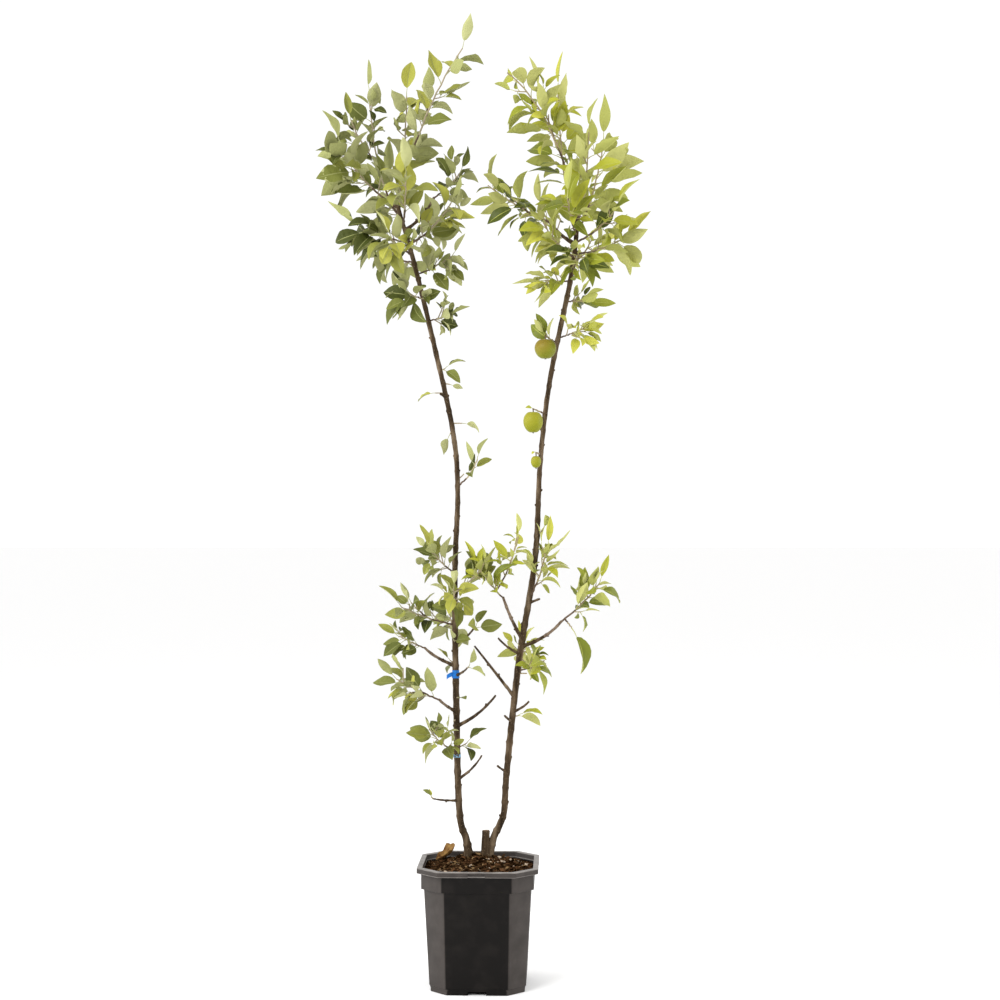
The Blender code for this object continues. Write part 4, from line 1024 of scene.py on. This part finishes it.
# Small tufts on the bare stretches, with their heights on a stem, or 0 at a spur's tip
TUFT_BEND = 0.2
TUFT_RADII = (0.0017, 0.0013)
TUFT_BARE = 0.4
Tuft = namedtuple(
    "Tuft", "host start heading reach rise leaves leaf_length bend", defaults=(TUFT_BEND,)
)
LEFT_TUFTS = (
    Tuft("left_stem", 1.258, 350, 0.010, 0.004, 2, 0.038),
    Tuft("left_stem", 1.232, 10, 0.014, -0.002, 1, 0.024),
    Tuft("left_stem", 1.212, 190, 0.020, 0.000, 1, 0.030),
    Tuft("left_stem", 1.182, 10, 0.004, 0.004, 2, 0.020),
    Tuft("left_stem", 1.168, 190, 0.005, 0.002, 1, 0.014),
    Tuft("left_stem", 1.150, 0, 0.022, 0.000, 1, 0.036),
    Tuft("left_stem", 1.138, 200, 0.005, -0.010, 1, 0.050),
    Tuft("left_stem", 1.034, 10, 0.014, 0.012, 1, 0.050),
    Tuft("left_stem", 0.700, 260, 0.014, 0.004, 2, 0.036),
    Tuft("left_stem", 0.655, 165, 0.012, 0.006, 2, 0.028),
    Tuft("left_stem", 0.585, 290, 0.012, 0.000, 1, 0.036),
    Tuft("left_stem", 0.540, 240, 0.012, -0.004, 1, 0.050),
    Tuft("low_spur_a", 0.0, 315, 0.008, 0.006, 3, 0.044),
    Tuft("left_stem", 0.480, 350, 0.020, 0.010, 3, 0.042),
    Tuft("low_spur_b", 0.0, 300, 0.008, 0.004, 2, 0.040),
    Tuft("low_spur_d", 0.0, 215, 0.006, 0.004, 3, 0.018),
)
RIGHT_TUFTS = (
    Tuft("right_stem", 0.920, 330, 0.014, 0.010, 3, 0.034),
    Tuft("right_stem", 0.690, 235, 0.010, 0.004, 2, 0.026),
    Tuft("right_stem", 0.682, 330, 0.012, 0.004, 2, 0.030),
    Tuft("right_stem", 0.635, 345, 0.020, 0.000, 1, 0.050),
    Tuft("right_stem", 0.545, 340, 0.012, 0.002, 3, 0.042),
)
Fruit = namedtuple("Fruit", "mass width height drop")
FRUITS = (
    Fruit("right_apple_high", 0.044, 0.043, 0.010),
    Fruit("right_apple_mid", 0.040, 0.046, 0.008),
    Fruit("right_apple_low", 0.021, 0.026, 0.010),
)
FRUIT_DIMPLE = 0.004
# The wood of the shoots, and the stalks of the leaves
SHOOT_RADIUS = 0.0023
SHOOT_TIP_RADIUS = 0.0013
SHORT_SHOOT_RADIUS = 0.0019
FINE_SHOOT_STEPS = 18
FINE_FORK_STEPS = 12
FORK_BARE = 0.25
STALK_RADIUS = 0.0008
STALK_FOOT = 0.0009
STALK_SHARE = 0.28
STALK_TAPER = (1.3, 1.0, 0.8)
STALK_ARCH = 0.02
# How a leaf stands on its shoot, and the plain shape that is kept clear for it
LEAF_WIDTH = 0.66
LEAF_BELLY = 0.45
LEAF_CENTRE = 0.6
LEAF_NEAR = 0.8
LEAF_KEEL = 0.0011
LEAF_DROOP = 0.10
LEAN = (48.0, 74.0)
TIP_LEAN_LOSS = 0.30
LEAF_SAG = 0.8
LAST_LEAF_SIDE = 0.15
FACE_FORWARD = 0.5
FACE_BACK = 0.4
LEAF_ROLL = 70.0
BLADE_SPREAD = (0.84, 1.12)
LEAF_STAGGER = 0.4
LEAF_TRIES = 14
TRY_SHRINK = 0.985
TRY_TURN = (0.4, 1.2)
# The room that leaves keep to
GUARD = 0.0008
STEM_SAMPLES = (0.3, 0.5, 0.7, 0.9, 1.0)
CROWN_TOP = 1.994
CROWN_LEFT = -0.335
CROWN_RIGHT = 0.362
CROWN_DEPTH = 0.250
# The fine twigs on a shoot
FINE_TWIG_SHARES = (0.30, 0.48, 0.66, 0.84)
FINE_TWIG_LENGTH = (0.014, 0.030)
FINE_TWIG_RADII = [0.0013, 0.0012, 0.0010]
FINE_TWIG_LEAN = 0.6
FINE_TWIG_ROOM = 1.6
FINE_TWIG_BARE = 0.5
FINE_TWIG_FROM = 6  # leaves on the shoot that bears them
FINE_LEAVES = 3
FINE_LEAF = 0.62
TWIG_KINK = 0.0009
KINK_POINTS = 5
WOODY_SHARE = 0.42
SHOOT_COLOURS = (
    ("left", (0.330, 0.275, 0.185), (0.330, 0.335, 0.170)),
    ("right", (0.300, 0.240, 0.140), (0.400, 0.400, 0.140)),
)
YEAR_OLD_DARK = (0.060, 0.038, 0.026)
YEAR_OLD_PALE = (0.165, 0.115, 0.078)

Leaf = namedtuple("Leaf", "root along face blade share")
Twig = namedtuple("Twig", "path bare leaves leaf_length fine")


def grown(path, extra, longer=0.0):
    """A path's guard: thicker all round and longer at its tip."""
    tip_way = (path.points[-1] - path.points[-2]).normalized()
    places = path.points[:-1] + [path.points[-1] + tip_way * longer]
    return Path(places, [radius + extra for radius in path.radii])


def wedge(centre, side, face, half_width, keel):
    """A three-cornered section: flat on the upper side, with a keel below."""
    return [centre - side * half_width, centre + side * half_width, centre - face * keel]


def leaf_guard(leaf, margin, blade_only):
    """The space a leaf takes up, as a search tree."""
    side = leaf.along.cross(leaf.face)
    stalk = leaf.blade * STALK_SHARE
    half_width = leaf.blade * LEAF_WIDTH / 2.0
    root = leaf.root + leaf.face * margin
    keel = LEAF_KEEL + 2.0 * margin
    neck = root + leaf.along * stalk
    belly = root + leaf.along * (stalk + leaf.blade * LEAF_BELLY)
    rings = [
        wedge(neck, side, leaf.face, STALK_RADIUS + margin, keel),
        wedge(belly, side, leaf.face, half_width + margin, keel),
    ]
    if not blade_only:
        foot = root + leaf.face * 0.4 * STALK_FOOT
        rings.insert(0, wedge(foot, side, leaf.face, 0.6 * STALK_FOOT, STALK_FOOT))
    droop = leaf.face * leaf.blade * LEAF_DROOP
    tip = root + leaf.along * (stalk + leaf.blade + margin) - droop
    places = [point for ring in rings for point in ring] + [tip]
    last = len(places) - 1
    skin = [(0, 1, 2)]
    for level in range(len(rings) - 1):
        for index in range(3):
            after = (index + 1) % 3
            a, b = level * 3 + index, level * 3 + after
            skin.append((a, b, b + 3))
            skin.append((a, b + 3, a + 3))
    skin.extend((last - 3 + index, last - 3 + (index + 1) % 3, last) for index in range(3))
    return BVHTree.FromPolygons(places, skin)


class Crown:
    """What has grown so far, with the guards that keep new growth clear of it."""

    def __init__(self):
        self.limb_guards = []
        self.leaf_guards = []
        self.stem_points = []

    def add_limb(self, owner, path, sides):
        mesh = limb_mesh("guard", [(path, 0)], sides, [])
        shape = shape_of(mesh)
        bpy.data.meshes.remove(mesh)
        self.limb_guards.append((owner, BVHTree.FromBMesh(shape)))
        shape.free()

    def add_fruit(self, owner, centre, fruit):
        shape = bmesh.new()
        bmesh.ops.create_uvsphere(shape, u_segments=8, v_segments=6, radius=0.5)
        size = Matrix.Diagonal((fruit.width, fruit.width, fruit.height, 1.0))
        bmesh.ops.transform(shape, matrix=Matrix.Translation(centre) @ size, verts=shape.verts)
        self.limb_guards.append((owner, BVHTree.FromBMesh(shape)))
        shape.free()

    def add_stem(self, owner, path):
        for share in STEM_SAMPLES:
            self.stem_points.append((owner, point_along(path, share)[0]))

    def add_leaf(self, owner, leaf):
        centre = leaf.root + leaf.along * leaf.blade * LEAF_CENTRE
        whole = leaf_guard(leaf, GUARD, False)
        blade = leaf_guard(leaf, GUARD, True)
        self.leaf_guards.append((owner, centre, leaf.blade, whole, blade))

    def in_space(self, owner, tip):
        """A leaf's tip stays in the crown and nearer to its own shoot than to any other."""
        if not CROWN_LEFT < tip.x < CROWN_RIGHT or abs(tip.y) > CROWN_DEPTH or tip.z > CROWN_TOP:
            return False
        own = min((point - tip).length for name, point in self.stem_points if name == owner)
        return all((point - tip).length > own for name, point in self.stem_points if name != owner)

    def is_clear(self, owner, leaf):
        tip = leaf.root + leaf.along * leaf.blade * (1.0 + STALK_SHARE)
        if not self.in_space(owner, tip):
            return False
        whole = leaf_guard(leaf, GUARD, False)
        blade = leaf_guard(leaf, GUARD, True)
        for name, guard in self.limb_guards:
            if guard.overlap(blade if name == owner else whole):
                return False
        centre = leaf.root + leaf.along * leaf.blade * LEAF_CENTRE
        for name, there, size, other_whole, other_blade in self.leaf_guards:
            if (there - centre).length > LEAF_NEAR * (size + leaf.blade):
                continue
            if name != owner and other_whole.overlap(whole):
                return False
            if name == owner and (other_whole.overlap(blade) or other_blade.overlap(whole)):
                return False
        return True


def new_leaf(path, share, turn, size, chance):
    """A leaf that leans out from its shoot, and hangs and rolls a little."""
    root, way = point_along(path, share)
    radial = square_to(way, turn)
    lean = math.radians(chance.uniform(*LEAN)) * (1.0 - TIP_LEAN_LOSS * share)
    along = way * math.cos(lean) + radial * math.sin(lean)
    along.z -= chance.uniform(0.0, LEAF_SAG) * (1.0 - LEAF_SAG * way.z) * math.sin(lean)
    if share >= 1.0:
        along = way + radial * LAST_LEAF_SIDE + UP * max(way.z, 0.0)
    along.normalize()
    face = way * FACE_FORWARD + UP - radial * FACE_BACK
    face = (face - along * face.dot(along)).normalized()
    roll = math.radians(chance.uniform(-LEAF_ROLL, LEAF_ROLL))
    face = Matrix.Rotation(roll, 3, along) @ face
    return Leaf(root, along, face, size * chance.uniform(*BLADE_SPREAD), share)


def grow_leaves(crown, owner, twig, chance):
    """Leaves by the golden angle along a shoot, the last one at its tip."""
    grown_leaves = []
    start_turn = chance.uniform(0.0, math.tau)
    for index in range(twig.leaves):
        share = twig.bare + (1.0 - twig.bare) * (index + LEAF_STAGGER) / twig.leaves
        if index == twig.leaves - 1:
            share = 1.0
        turn = start_turn + index * GOLDEN_ANGLE
        for attempt in range(LEAF_TRIES):
            size = twig.leaf_length * TRY_SHRINK ** attempt
            leaf = new_leaf(twig.path, share, turn, size, chance)
            if crown.is_clear(owner, leaf):
                crown.add_leaf(owner, leaf)
                grown_leaves.append(leaf)
                break
            turn += chance.uniform(*TRY_TURN)
    return grown_leaves


def fruit_centre(fruit, path):
    return path.points[-1] - UP * (fruit.drop + fruit.height / 2.0 - FRUIT_DIMPLE)


def kinked(path, chance):
    """A twig that steps a little to each side from node to node."""
    places = list(path.points)
    for index in range(2, len(places) - 1):
        way = (places[index + 1] - places[index - 1]).normalized()
        across = square_to(way, chance.uniform(0.0, math.tau))
        places[index] = places[index] + across * TWIG_KINK
    return Path(places, path.radii)


crown = Crown()
for name in ("left_stem", "right_stem"):
    crown.add_limb(name, grown(paths[name], GUARD), STEM_SIDES)
for spur in SPURS:
    crown.add_limb(spur.host, grown(paths[spur.name], GUARD, GUARD), BOUGH_SIDES)
for bough in BOUGHS:
    crown.add_limb(bough.name, grown(paths[bough.name], GUARD), BOUGH_SIDES)

fruits = {fruit.mass: fruit for fruit in FRUITS}
twigs = {}
for shoot in SHOOTS:
    is_short = math.hypot(shoot.reach, shoot.rise) < SHORT_SHOOT
    radius = SHORT_SHOOT_RADIUS if is_short else SHOOT_RADIUS
    start = host_start(shoot, paths)
    path = arc_path(start, shoot, radius, SHOOT_TIP_RADIUS)
    fine = arc_path(start, shoot, radius, SHOOT_TIP_RADIUS, FINE_SHOOT_STEPS)
    twigs[shoot.name] = [Twig(path, shoot.bare, shoot.leaves, shoot.leaf_length, fine)]
for fork in FORKS:
    start = point_along(twigs[fork.mass][0].path, fork.share)[0]
    path = arc_path(start, fork, SHORT_SHOOT_RADIUS, SHOOT_TIP_RADIUS)
    fine = arc_path(start, fork, SHORT_SHOOT_RADIUS, SHOOT_TIP_RADIUS, FINE_FORK_STEPS)
    twigs[fork.mass].append(Twig(path, FORK_BARE, fork.leaves, fork.leaf_length, fine))
for name, own_twigs in twigs.items():
    for twig in own_twigs:
        crown.add_limb(name, grown(twig.path, GUARD, GUARD), BOUGH_SIDES)
        crown.add_stem(name, twig.path)
    if name in fruits:
        crown.add_fruit(name, fruit_centre(fruits[name], own_twigs[0].path), fruits[name])

grown_on = {}
for shoot in SHOOTS:
    chance = random.Random(shoot.name)
    grown_on[shoot.name] = [
        (twig, grow_leaves(crown, shoot.name, twig, chance)) for twig in twigs[shoot.name]
    ]

for shoot in SHOOTS:
    chance = random.Random(f"{shoot.name}_fine")
    for twig in list(twigs[shoot.name]):
        if twig.leaves < FINE_TWIG_FROM:
            continue
        for index, share in enumerate(FINE_TWIG_SHARES):
            root, way = point_along(twig.path, share)
            radial = square_to(way, chance.uniform(0.0, math.tau))
            reach = (way * FINE_TWIG_LEAN + radial).normalized() * chance.uniform(*FINE_TWIG_LENGTH)
            if not crown.in_space(shoot.name, root + reach * FINE_TWIG_ROOM):
                continue
            places = [root, root + reach * 0.5 + UP * 0.001, root + reach + UP * 0.003]
            path = Path(places, FINE_TWIG_RADII)
            small = Twig(path, FINE_TWIG_BARE, FINE_LEAVES, twig.leaf_length * FINE_LEAF, path)
            grown_on[shoot.name].append((small, grow_leaves(crown, shoot.name, small, chance)))

for side, tufts in (("left", LEFT_TUFTS), ("right", RIGHT_TUFTS)):
    for index, tuft in enumerate(tufts):
        path = arc_path(host_start(tuft, paths), tuft, *TUFT_RADII)
        twig = Twig(path, TUFT_BARE, tuft.leaves, tuft.leaf_length, path)
        name = f"{side}_tuft_{index}"
        crown.add_stem(name, path)
        grown_on[name] = [(twig, grow_leaves(crown, name, twig, random.Random(name)))]


def neck_of(leaf):
    """Where a leaf's stalk ends and its blade begins."""
    return leaf.root + leaf.along * leaf.blade * STALK_SHARE


def young_shoots(side, shoot_colour, stalk_colour):
    """The shoots and leaf stalks of one side, as one mesh."""
    shoot_finish = new_finish(f"{side}_young_wood", shoot_colour, 0.6)
    stalk_finish = new_finish(f"{side}_stalks", stalk_colour, 0.55)
    limbs = []
    for name, pairs in grown_on.items():
        if not name.startswith(side):
            continue
        chance = random.Random(f"{name}_wood")
        for twig, leaves in pairs:
            fine = twig.fine
            count = len(fine.points)
            if count > KINK_POINTS:
                fine = kinked(fine, chance)
                joint = max(2, int(count * WOODY_SHARE))
                limbs.append((part_of(fine, 0, joint + 1), 0))
                limbs.append((part_of(fine, joint, count), 1))
            else:
                limbs.append((fine, 1))
            for leaf in leaves:
                root = point_along(twig.fine, leaf.share)[0]
                neck = neck_of(leaf)
                middle = root.lerp(neck, 0.5) + leaf.face * leaf.blade * STALK_ARCH
                wide = STALK_RADIUS * (0.6 + leaf.blade * 7.0)
                radii = [wide * share for share in STALK_TAPER]
                limbs.append((Path([root, middle, neck], radii), 2))
    mesh = limb_mesh(f"{side}_shoots", limbs, 6, [year_old_wood, shoot_finish, stalk_finish])
    smooth_up_to(mesh, 60.0)
    return linked(f"{side}_shoots", mesh)


year_old_wood = two_tone("year_old_wood", 120.0, YEAR_OLD_DARK, YEAR_OLD_PALE, 0.7)
for side, shoot_colour, stalk_colour in SHOOT_COLOURS:
    shoots_piece = young_shoots(side, shoot_colour, stalk_colour)
    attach(shoots_piece, "root")

# The leaves
# Toothed oval blades with a sunken midrib and raised veins, folded a little along the midrib,
# arched and rippled. The left variety is grey-green and dull with pale downy undersides, and
# the right one bright yellow-green and glossier, its colours brightened as painted light for the
# glow of light through the leaves. Tones are dealt out spray by spray, and shifted by painted
# light and shade: a tone lighter high in the crown, where leaves are young and painted lit, and a
# tone darker near a shoot's foot, where they are older and painted shaded.
STATIONS = 8
LEAF_THICKNESS = 0.0004
RIB_RISE = 2.2
TOOTH = 0.02
VEIN_RISE = 0.003
TWIST = 0.6
SWAY = 0.08
WAVES = (1.0, 2.2)
RIPPLE_SPREAD = (0.2, 1.4)
WIDTH_SPREAD = (0.88, 1.10)
UPWARD_SHARE = 0.2
UPWARD_ARCH = -0.5
YOUNG_FOLD = 0.3
YOUNG_WIDTH = 0.75
YOUNG_ARCH = 0.5
# Leaves above this height are a tone lighter: young leaves, and painted light on the crown's top
YOUNG_AND_LIT_ABOVE = 1.70
TIP_LEAF = 0.92
# Leaves nearer a shoot's foot than this share are a tone darker: older leaves, and painted shade
OLD_AND_SHADED_LEAF = 0.50
TUFT_LEAVES = 3
LEAF_SHEEN = 0.18
LEAF_GRAIN = (110.0, 2.0)
LEAF_RELIEF = (0.7, 0.003)
VEIN_LINE = 0.5
ACROSS = (-1.0, -VEIN_LINE, -0.05, 0.05, VEIN_LINE, 1.0)
RING = len(ACROSS) + 1
Variety = namedtuple("Variety", "side width fold arch ripple gloss rib uppers undersides")
VARIETIES = (
    Variety("left", 0.66, (0.20, 0.85), (0.20, 1.20), 0.036, 0.62, (0.250, 0.260, 0.095), (
        (0.050, 0.060, 0.009), (0.090, 0.104, 0.018), (0.145, 0.159, 0.031),
        (0.225, 0.235, 0.045), (0.340, 0.340, 0.058),
    ), ((0.360, 0.368, 0.165), (0.285, 0.298, 0.112))),
    # The right uppers are brighter than the leaves' own colour: painted light for the glow through
    # the leaves
    Variety("right", 0.50, (0.20, 0.75), (0.30, 1.30), 0.026, 0.40, (0.370, 0.385, 0.085), (
        (0.070, 0.088, 0.012), (0.150, 0.174, 0.018), (0.240, 0.260, 0.024),
        (0.335, 0.345, 0.030), (0.440, 0.435, 0.058),
    ), ((0.440, 0.445, 0.150), (0.365, 0.380, 0.100))),
)
TONE_DEAL = (2, 4, 5, 4, 2)


def blade_points(leaf, variety, is_young, chance):
    """Rings of seven points, six over the top and the rib below, from neck to tip."""
    along, face = np.array(leaf.along), np.array(leaf.face)
    across = np.cross(along, face)
    length = leaf.blade
    fold = chance.uniform(*variety.fold)
    arch = chance.uniform(*variety.arch) * (UPWARD_ARCH if chance.random() < UPWARD_SHARE else 1.0)
    twist = chance.uniform(-TWIST, TWIST)
    ripple = variety.ripple * length * chance.uniform(*RIPPLE_SPREAD)
    phase = chance.uniform(0.0, math.tau)
    waves = chance.uniform(*WAVES)
    sway = chance.uniform(-SWAY, SWAY)
    half = variety.width * length / 2.0 * chance.uniform(*WIDTH_SPREAD)
    if is_young:
        fold, half, arch = fold + YOUNG_FOLD, half * YOUNG_WIDTH, arch * YOUNG_ARCH
    rows = [np.array(neck_of(leaf))]
    for station in range(STATIONS):
        # Along the blade: how far it has arched and twisted, then how wide it is
        t = (station + 0.5) / (STATIONS + 0.2)
        bent = arch * t
        above = face * math.cos(bent) + along * math.sin(bent)
        aside = across * math.cos(twist * t) + above * math.sin(twist * t)
        upward = above * math.cos(twist * t) - across * math.sin(twist * t)
        spine = rows[0] + length * (
            along * math.sin(bent) / arch - face * (1.0 - math.cos(bent)) / arch
            + across * sway * t * t
        )
        share = math.sin(math.pi * t ** 0.82) ** 0.80 * (1.0 - 0.30 * t ** 4)
        width = half * share * (1.0 - TOOTH * (station % 2))
        vein = VEIN_RISE * length * (station % 2)
        wave = ripple * share * math.sin(waves * math.tau * t + phase)
        for u in ACROSS:
            rise = abs(u) * math.sin(fold) * width * (1.15 - 0.35 * abs(u)) + wave * u
            rise += vein + 0.5 * LEAF_THICKNESS if abs(u) == VEIN_LINE else 0.0
            rows.append(spine + aside * math.cos(fold) * width * u + upward * rise)
        rows.append(spine - upward * LEAF_THICKNESS * (RIB_RISE - t))
    rows.append(rows[0] + length * (
        along * math.sin(arch) / arch - face * (1.0 - math.cos(arch)) / arch + across * sway
    ))
    return rows


def blade_faces(first):
    """The faces of one blade, the upper ones before those below in every ring."""
    skin = [(first, first + 1 + (k + 1) % RING, first + 1 + k) for k in range(RING)]
    for station in range(STATIONS - 1):
        ring = first + 1 + RING * station
        for k in range(RING):
            after = (k + 1) % RING
            skin.append((ring + k, ring + after, ring + RING + after, ring + RING + k))
    last = first + 1 + RING * (STATIONS - 1)
    skin.extend((last + k, last + (k + 1) % RING, last + RING) for k in range(RING))
    return skin


for variety in VARIETIES:
    points, faces, tones = [], [], []
    upper_count = len(variety.uppers)
    rib = upper_count + len(variety.undersides)
    for name, pairs in grown_on.items():
        if not name.startswith(variety.side):
            continue
        chance = random.Random(f"{name}_blades")
        spray_tone = chance.choices(range(upper_count), TONE_DEAL)[0]
        for twig, leaves in pairs:
            for leaf in leaves:
                # Painted light and shade: a tone lighter high in the crown, a tone darker near a
                # shoot's foot
                tone = spray_tone + chance.choice((-1, 0, 0, 1)) + (leaf.root.z > YOUNG_AND_LIT_ABOVE)
                is_young = leaf.share > TIP_LEAF and twig.leaves > TUFT_LEAVES
                tone += is_young - (leaf.share < OLD_AND_SHADED_LEAF)
                tone = min(max(tone, 0), upper_count - 1)
                below = upper_count + chance.randrange(len(variety.undersides))
                skin = blade_faces(len(points))
                points.extend(blade_points(leaf, variety, is_young, chance))
                faces.extend(skin)
                tones.extend([tone, tone, rib, tone, tone, below, below] * (len(skin) // RING))
    side, gloss = variety.side, variety.gloss
    finishes = [
        new_finish(f"{side}_leaf_{index}", colour, gloss, Specular_IOR_Level=LEAF_SHEEN)
        for index, colour in enumerate(variety.uppers)
    ]
    finishes += [
        new_finish(f"{side}_underside_{index}", colour, 0.75)
        for index, colour in enumerate(variety.undersides)
    ]
    finishes.append(new_finish(f"{side}_midrib", variety.rib, 0.6))
    for finish in finishes:
        relief(finish, grain(finish, *LEAF_GRAIN), *LEAF_RELIEF)
    name = f"{side}_leaves"
    leaves_piece = linked(name, joined_mesh(name, points, faces, tones, finishes))
    smooth_up_to(leaves_piece.data, 75.0)
    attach(leaves_piece, "root")
    shoots = LEFT_SHOOTS if side == "left" else RIGHT_SHOOTS
    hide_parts(*[shoot.name for shoot in shoots])

# The apples
# Two half-grown apples and a fruitlet, each hung from a short woody stalk in a dimple, with
# the dried remains of the flower in a basin below. The skin is yellow-green with pale dots. On
# the side that faces the key light the highest one is bronzed, and the other two are painted a
# lighter yellow, which is painted light.
FRUIT_ROUND = 36
FRUIT_LEVELS = 24
DIMPLE_DEPTH = 0.11
DIMPLE_REACH = 0.30
BASIN_DEPTH = 0.06
BASIN_REACH = 0.24
RIB_DEPTH = 0.018
SHOULDER = 0.05
SEPALS = 5
SEPAL_LENGTH = 0.0042
SEPAL_RADII = (0.0009, 0.0001)
SEPAL_LEAN = math.radians(145.0)
HUNG_RADII = [0.0014, 0.0011, 0.0013]
APPLE_DOT = (0.40, 0.38, 0.09)
SHADED_GREEN = 0.82
BLUSH_AND_LIGHT_SHARE = 0.6
APPLE_SKINS = (
    # The warmer colour on the side toward the key light is bronze on the highest apple and painted
    # light on the other two
    ("high_apple_skin", (0.178, 0.188, 0.012), (0.250, 0.150, 0.030), (-0.5, -0.6, 0.6)),
    ("mid_apple_skin", (0.228, 0.238, 0.012), (0.340, 0.310, 0.035), (-0.4, -0.5, 0.7)),
    ("fruitlet_skin", (0.228, 0.238, 0.012), (0.340, 0.300, 0.035), (-0.4, -0.5, 0.7)),
)


def apple_skin(name, green, blush_and_light_colour, key_light_way):
    """Green skin with pale dots, and a warmer side toward the key light, partly painted light."""
    material = new_finish(name, green, 0.38)
    shaded = tuple(part * SHADED_GREEN for part in green)
    base = colours(material, grain(material, 55.0, 4.0), ((0.3, shaded), (0.7, green)))
    surface = add_node(material, "ShaderNodeNewGeometry")
    toward_key_light = add_node(material, "ShaderNodeVectorMath", {
        0: surface.outputs["Normal"], 1: key_light_way
    }, operation="DOT_PRODUCT")
    # Painted light: the skin turns warmer, and on two apples lighter, on the side that faces the
    # key light
    amount = spread(material, toward_key_light.outputs["Value"], (0.1, 1.0), (0.0, BLUSH_AND_LIGHT_SHARE))
    blushed_and_lit = mixed(material, amount, base, blush_and_light_colour)
    spots = dots(material, 260.0, (0.08, 0.16), 0.40)
    coloured_by(material, mixed(material, spots, blushed_and_lit, APPLE_DOT))
    return material


def give_finish(shape_verts, index):
    """Gives the faces between some vertices the finish with that number."""
    for face in {face for vert in shape_verts for face in vert.link_faces}:
        face.material_index = index


apple_shape = bmesh.new()
for index, fruit in enumerate(FRUITS):
    centre = fruit_centre(fruit, twigs[fruit.mass][0].path)
    ball = bmesh.ops.create_uvsphere(
        apple_shape, u_segments=FRUIT_ROUND, v_segments=FRUIT_LEVELS, radius=0.5
    )["verts"]
    for vert in ball:
        height = vert.co.z * 2.0
        out = vert.co.xy.length * 2.0
        around = math.atan2(vert.co.y, vert.co.x)
        ribs = 1.0 + RIB_DEPTH * math.cos(SEPALS * around) * (0.5 - 0.5 * height)
        vert.co.xy *= ribs * (1.0 + SHOULDER * height)
        if height > 0.0:
            vert.co.z -= DIMPLE_DEPTH * math.exp(-(out / DIMPLE_REACH) ** 2)
        else:
            vert.co.z += BASIN_DEPTH * math.exp(-(out / BASIN_REACH) ** 2)
    size = Matrix.Diagonal((fruit.width, fruit.width, fruit.height, 1.0))
    bmesh.ops.transform(apple_shape, matrix=Matrix.Translation(centre) @ size, verts=ball)
    give_finish(ball, index)
    basin = centre - UP * fruit.height * (0.5 - BASIN_DEPTH)
    for sepal in range(SEPALS):
        turn = Matrix.Rotation(sepal * math.tau / SEPALS, 4, "Z")
        turn = turn @ Matrix.Rotation(SEPAL_LEAN, 4, "Y")
        lift = Matrix.Translation((0.0, 0.0, SEPAL_LENGTH / 2.0))
        cone = bmesh.ops.create_cone(
            apple_shape, cap_ends=True, segments=4, radius1=SEPAL_RADII[0],
            radius2=SEPAL_RADII[1], depth=SEPAL_LENGTH,
            matrix=Matrix.Translation(basin) @ turn @ lift
        )["verts"]
        give_finish(cone, len(FRUITS))
bmesh.ops.recalc_face_normals(apple_shape, faces=apple_shape.faces)
apples = linked("apples", mesh_of(apple_shape, "apples"))
smooth_up_to(apples.data, 60.0)
for skin in APPLE_SKINS:
    apples.data.materials.append(apple_skin(*skin))
apples.data.materials.append(new_finish("dried_sepals", (0.045, 0.030, 0.018), 0.9))
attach(apples, "root")

stalks = []
for fruit in FRUITS:
    tip = twigs[fruit.mass][0].path.points[-1]
    foot = tip - UP * (fruit.drop + FRUIT_DIMPLE + 0.002)
    middle = tip.lerp(foot, 0.5) + Vector((0.0006, 0.0, 0.0))
    stalks.append((Path([tip + UP * 0.001, middle, foot], HUNG_RADII), 0))
stalk_piece = linked("apple_stalks", limb_mesh("apple_stalks", stalks, 8, [year_old_wood]))
smooth_up_to(stalk_piece.data, 60.0)
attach(stalk_piece, "root")

# The studio
# A plain pale floor in a white studio, with the camera where the photograph was taken from.
# A key light comes from the upper left, and a big soft one from each side.
CAMERA_PLACE = (0.043, -3.897, 0.982)
LENS = 68.4
SHIFT_Y = 0.005
FLOOR_SIZE = 40.0
FLOOR_COLOUR = (0.95, 0.947, 0.944)
WORLD_STRENGTH = 1.04
LIGHT_AIM = Vector((0.0, 0.0, 1.0))
LIGHTS = (
    ("key_light", (-2.0, -2.6, 2.8), 1.8, 88.0),
    ("left_softbox", (-2.6, -0.1, 1.3), 2.2, 46.0),
    ("right_softbox", (2.6, -0.1, 1.3), 2.2, 42.0),
)

floor_shape = bmesh.new()
bmesh.ops.create_grid(floor_shape, x_segments=1, y_segments=1, size=FLOOR_SIZE)
floor = linked("studio_floor", mesh_of(floor_shape, "studio_floor"))
floor.data.materials.append(new_finish("studio_floor", FLOOR_COLOUR, 0.8))

world = bpy.data.worlds.new("studio")
world.use_nodes = True
backdrop = world.node_tree.nodes["Background"]
backdrop.inputs["Color"].default_value = (1.0, 1.0, 1.0, 1.0)
backdrop.inputs["Strength"].default_value = WORLD_STRENGTH
bpy.context.scene.world = world

for name, place, size, power in LIGHTS:
    lamp = bpy.data.lights.new(name, "AREA")
    lamp.size = size
    lamp.energy = power
    item = linked(name, lamp)
    item.location = place
    item.rotation_euler = (LIGHT_AIM - Vector(place)).to_track_quat("-Z", "Y").to_euler()

camera_data = bpy.data.cameras.new("camera")
camera_data.lens = LENS
camera_data.sensor_width = 36.0
camera_data.shift_y = SHIFT_Y
camera = linked("camera", camera_data)
camera.location = CAMERA_PLACE
camera.rotation_euler = (math.radians(90.0), 0.0, 0.0)
bpy.context.scene.camera = camera
bpy.context.scene.view_settings.view_transform = "Standard"
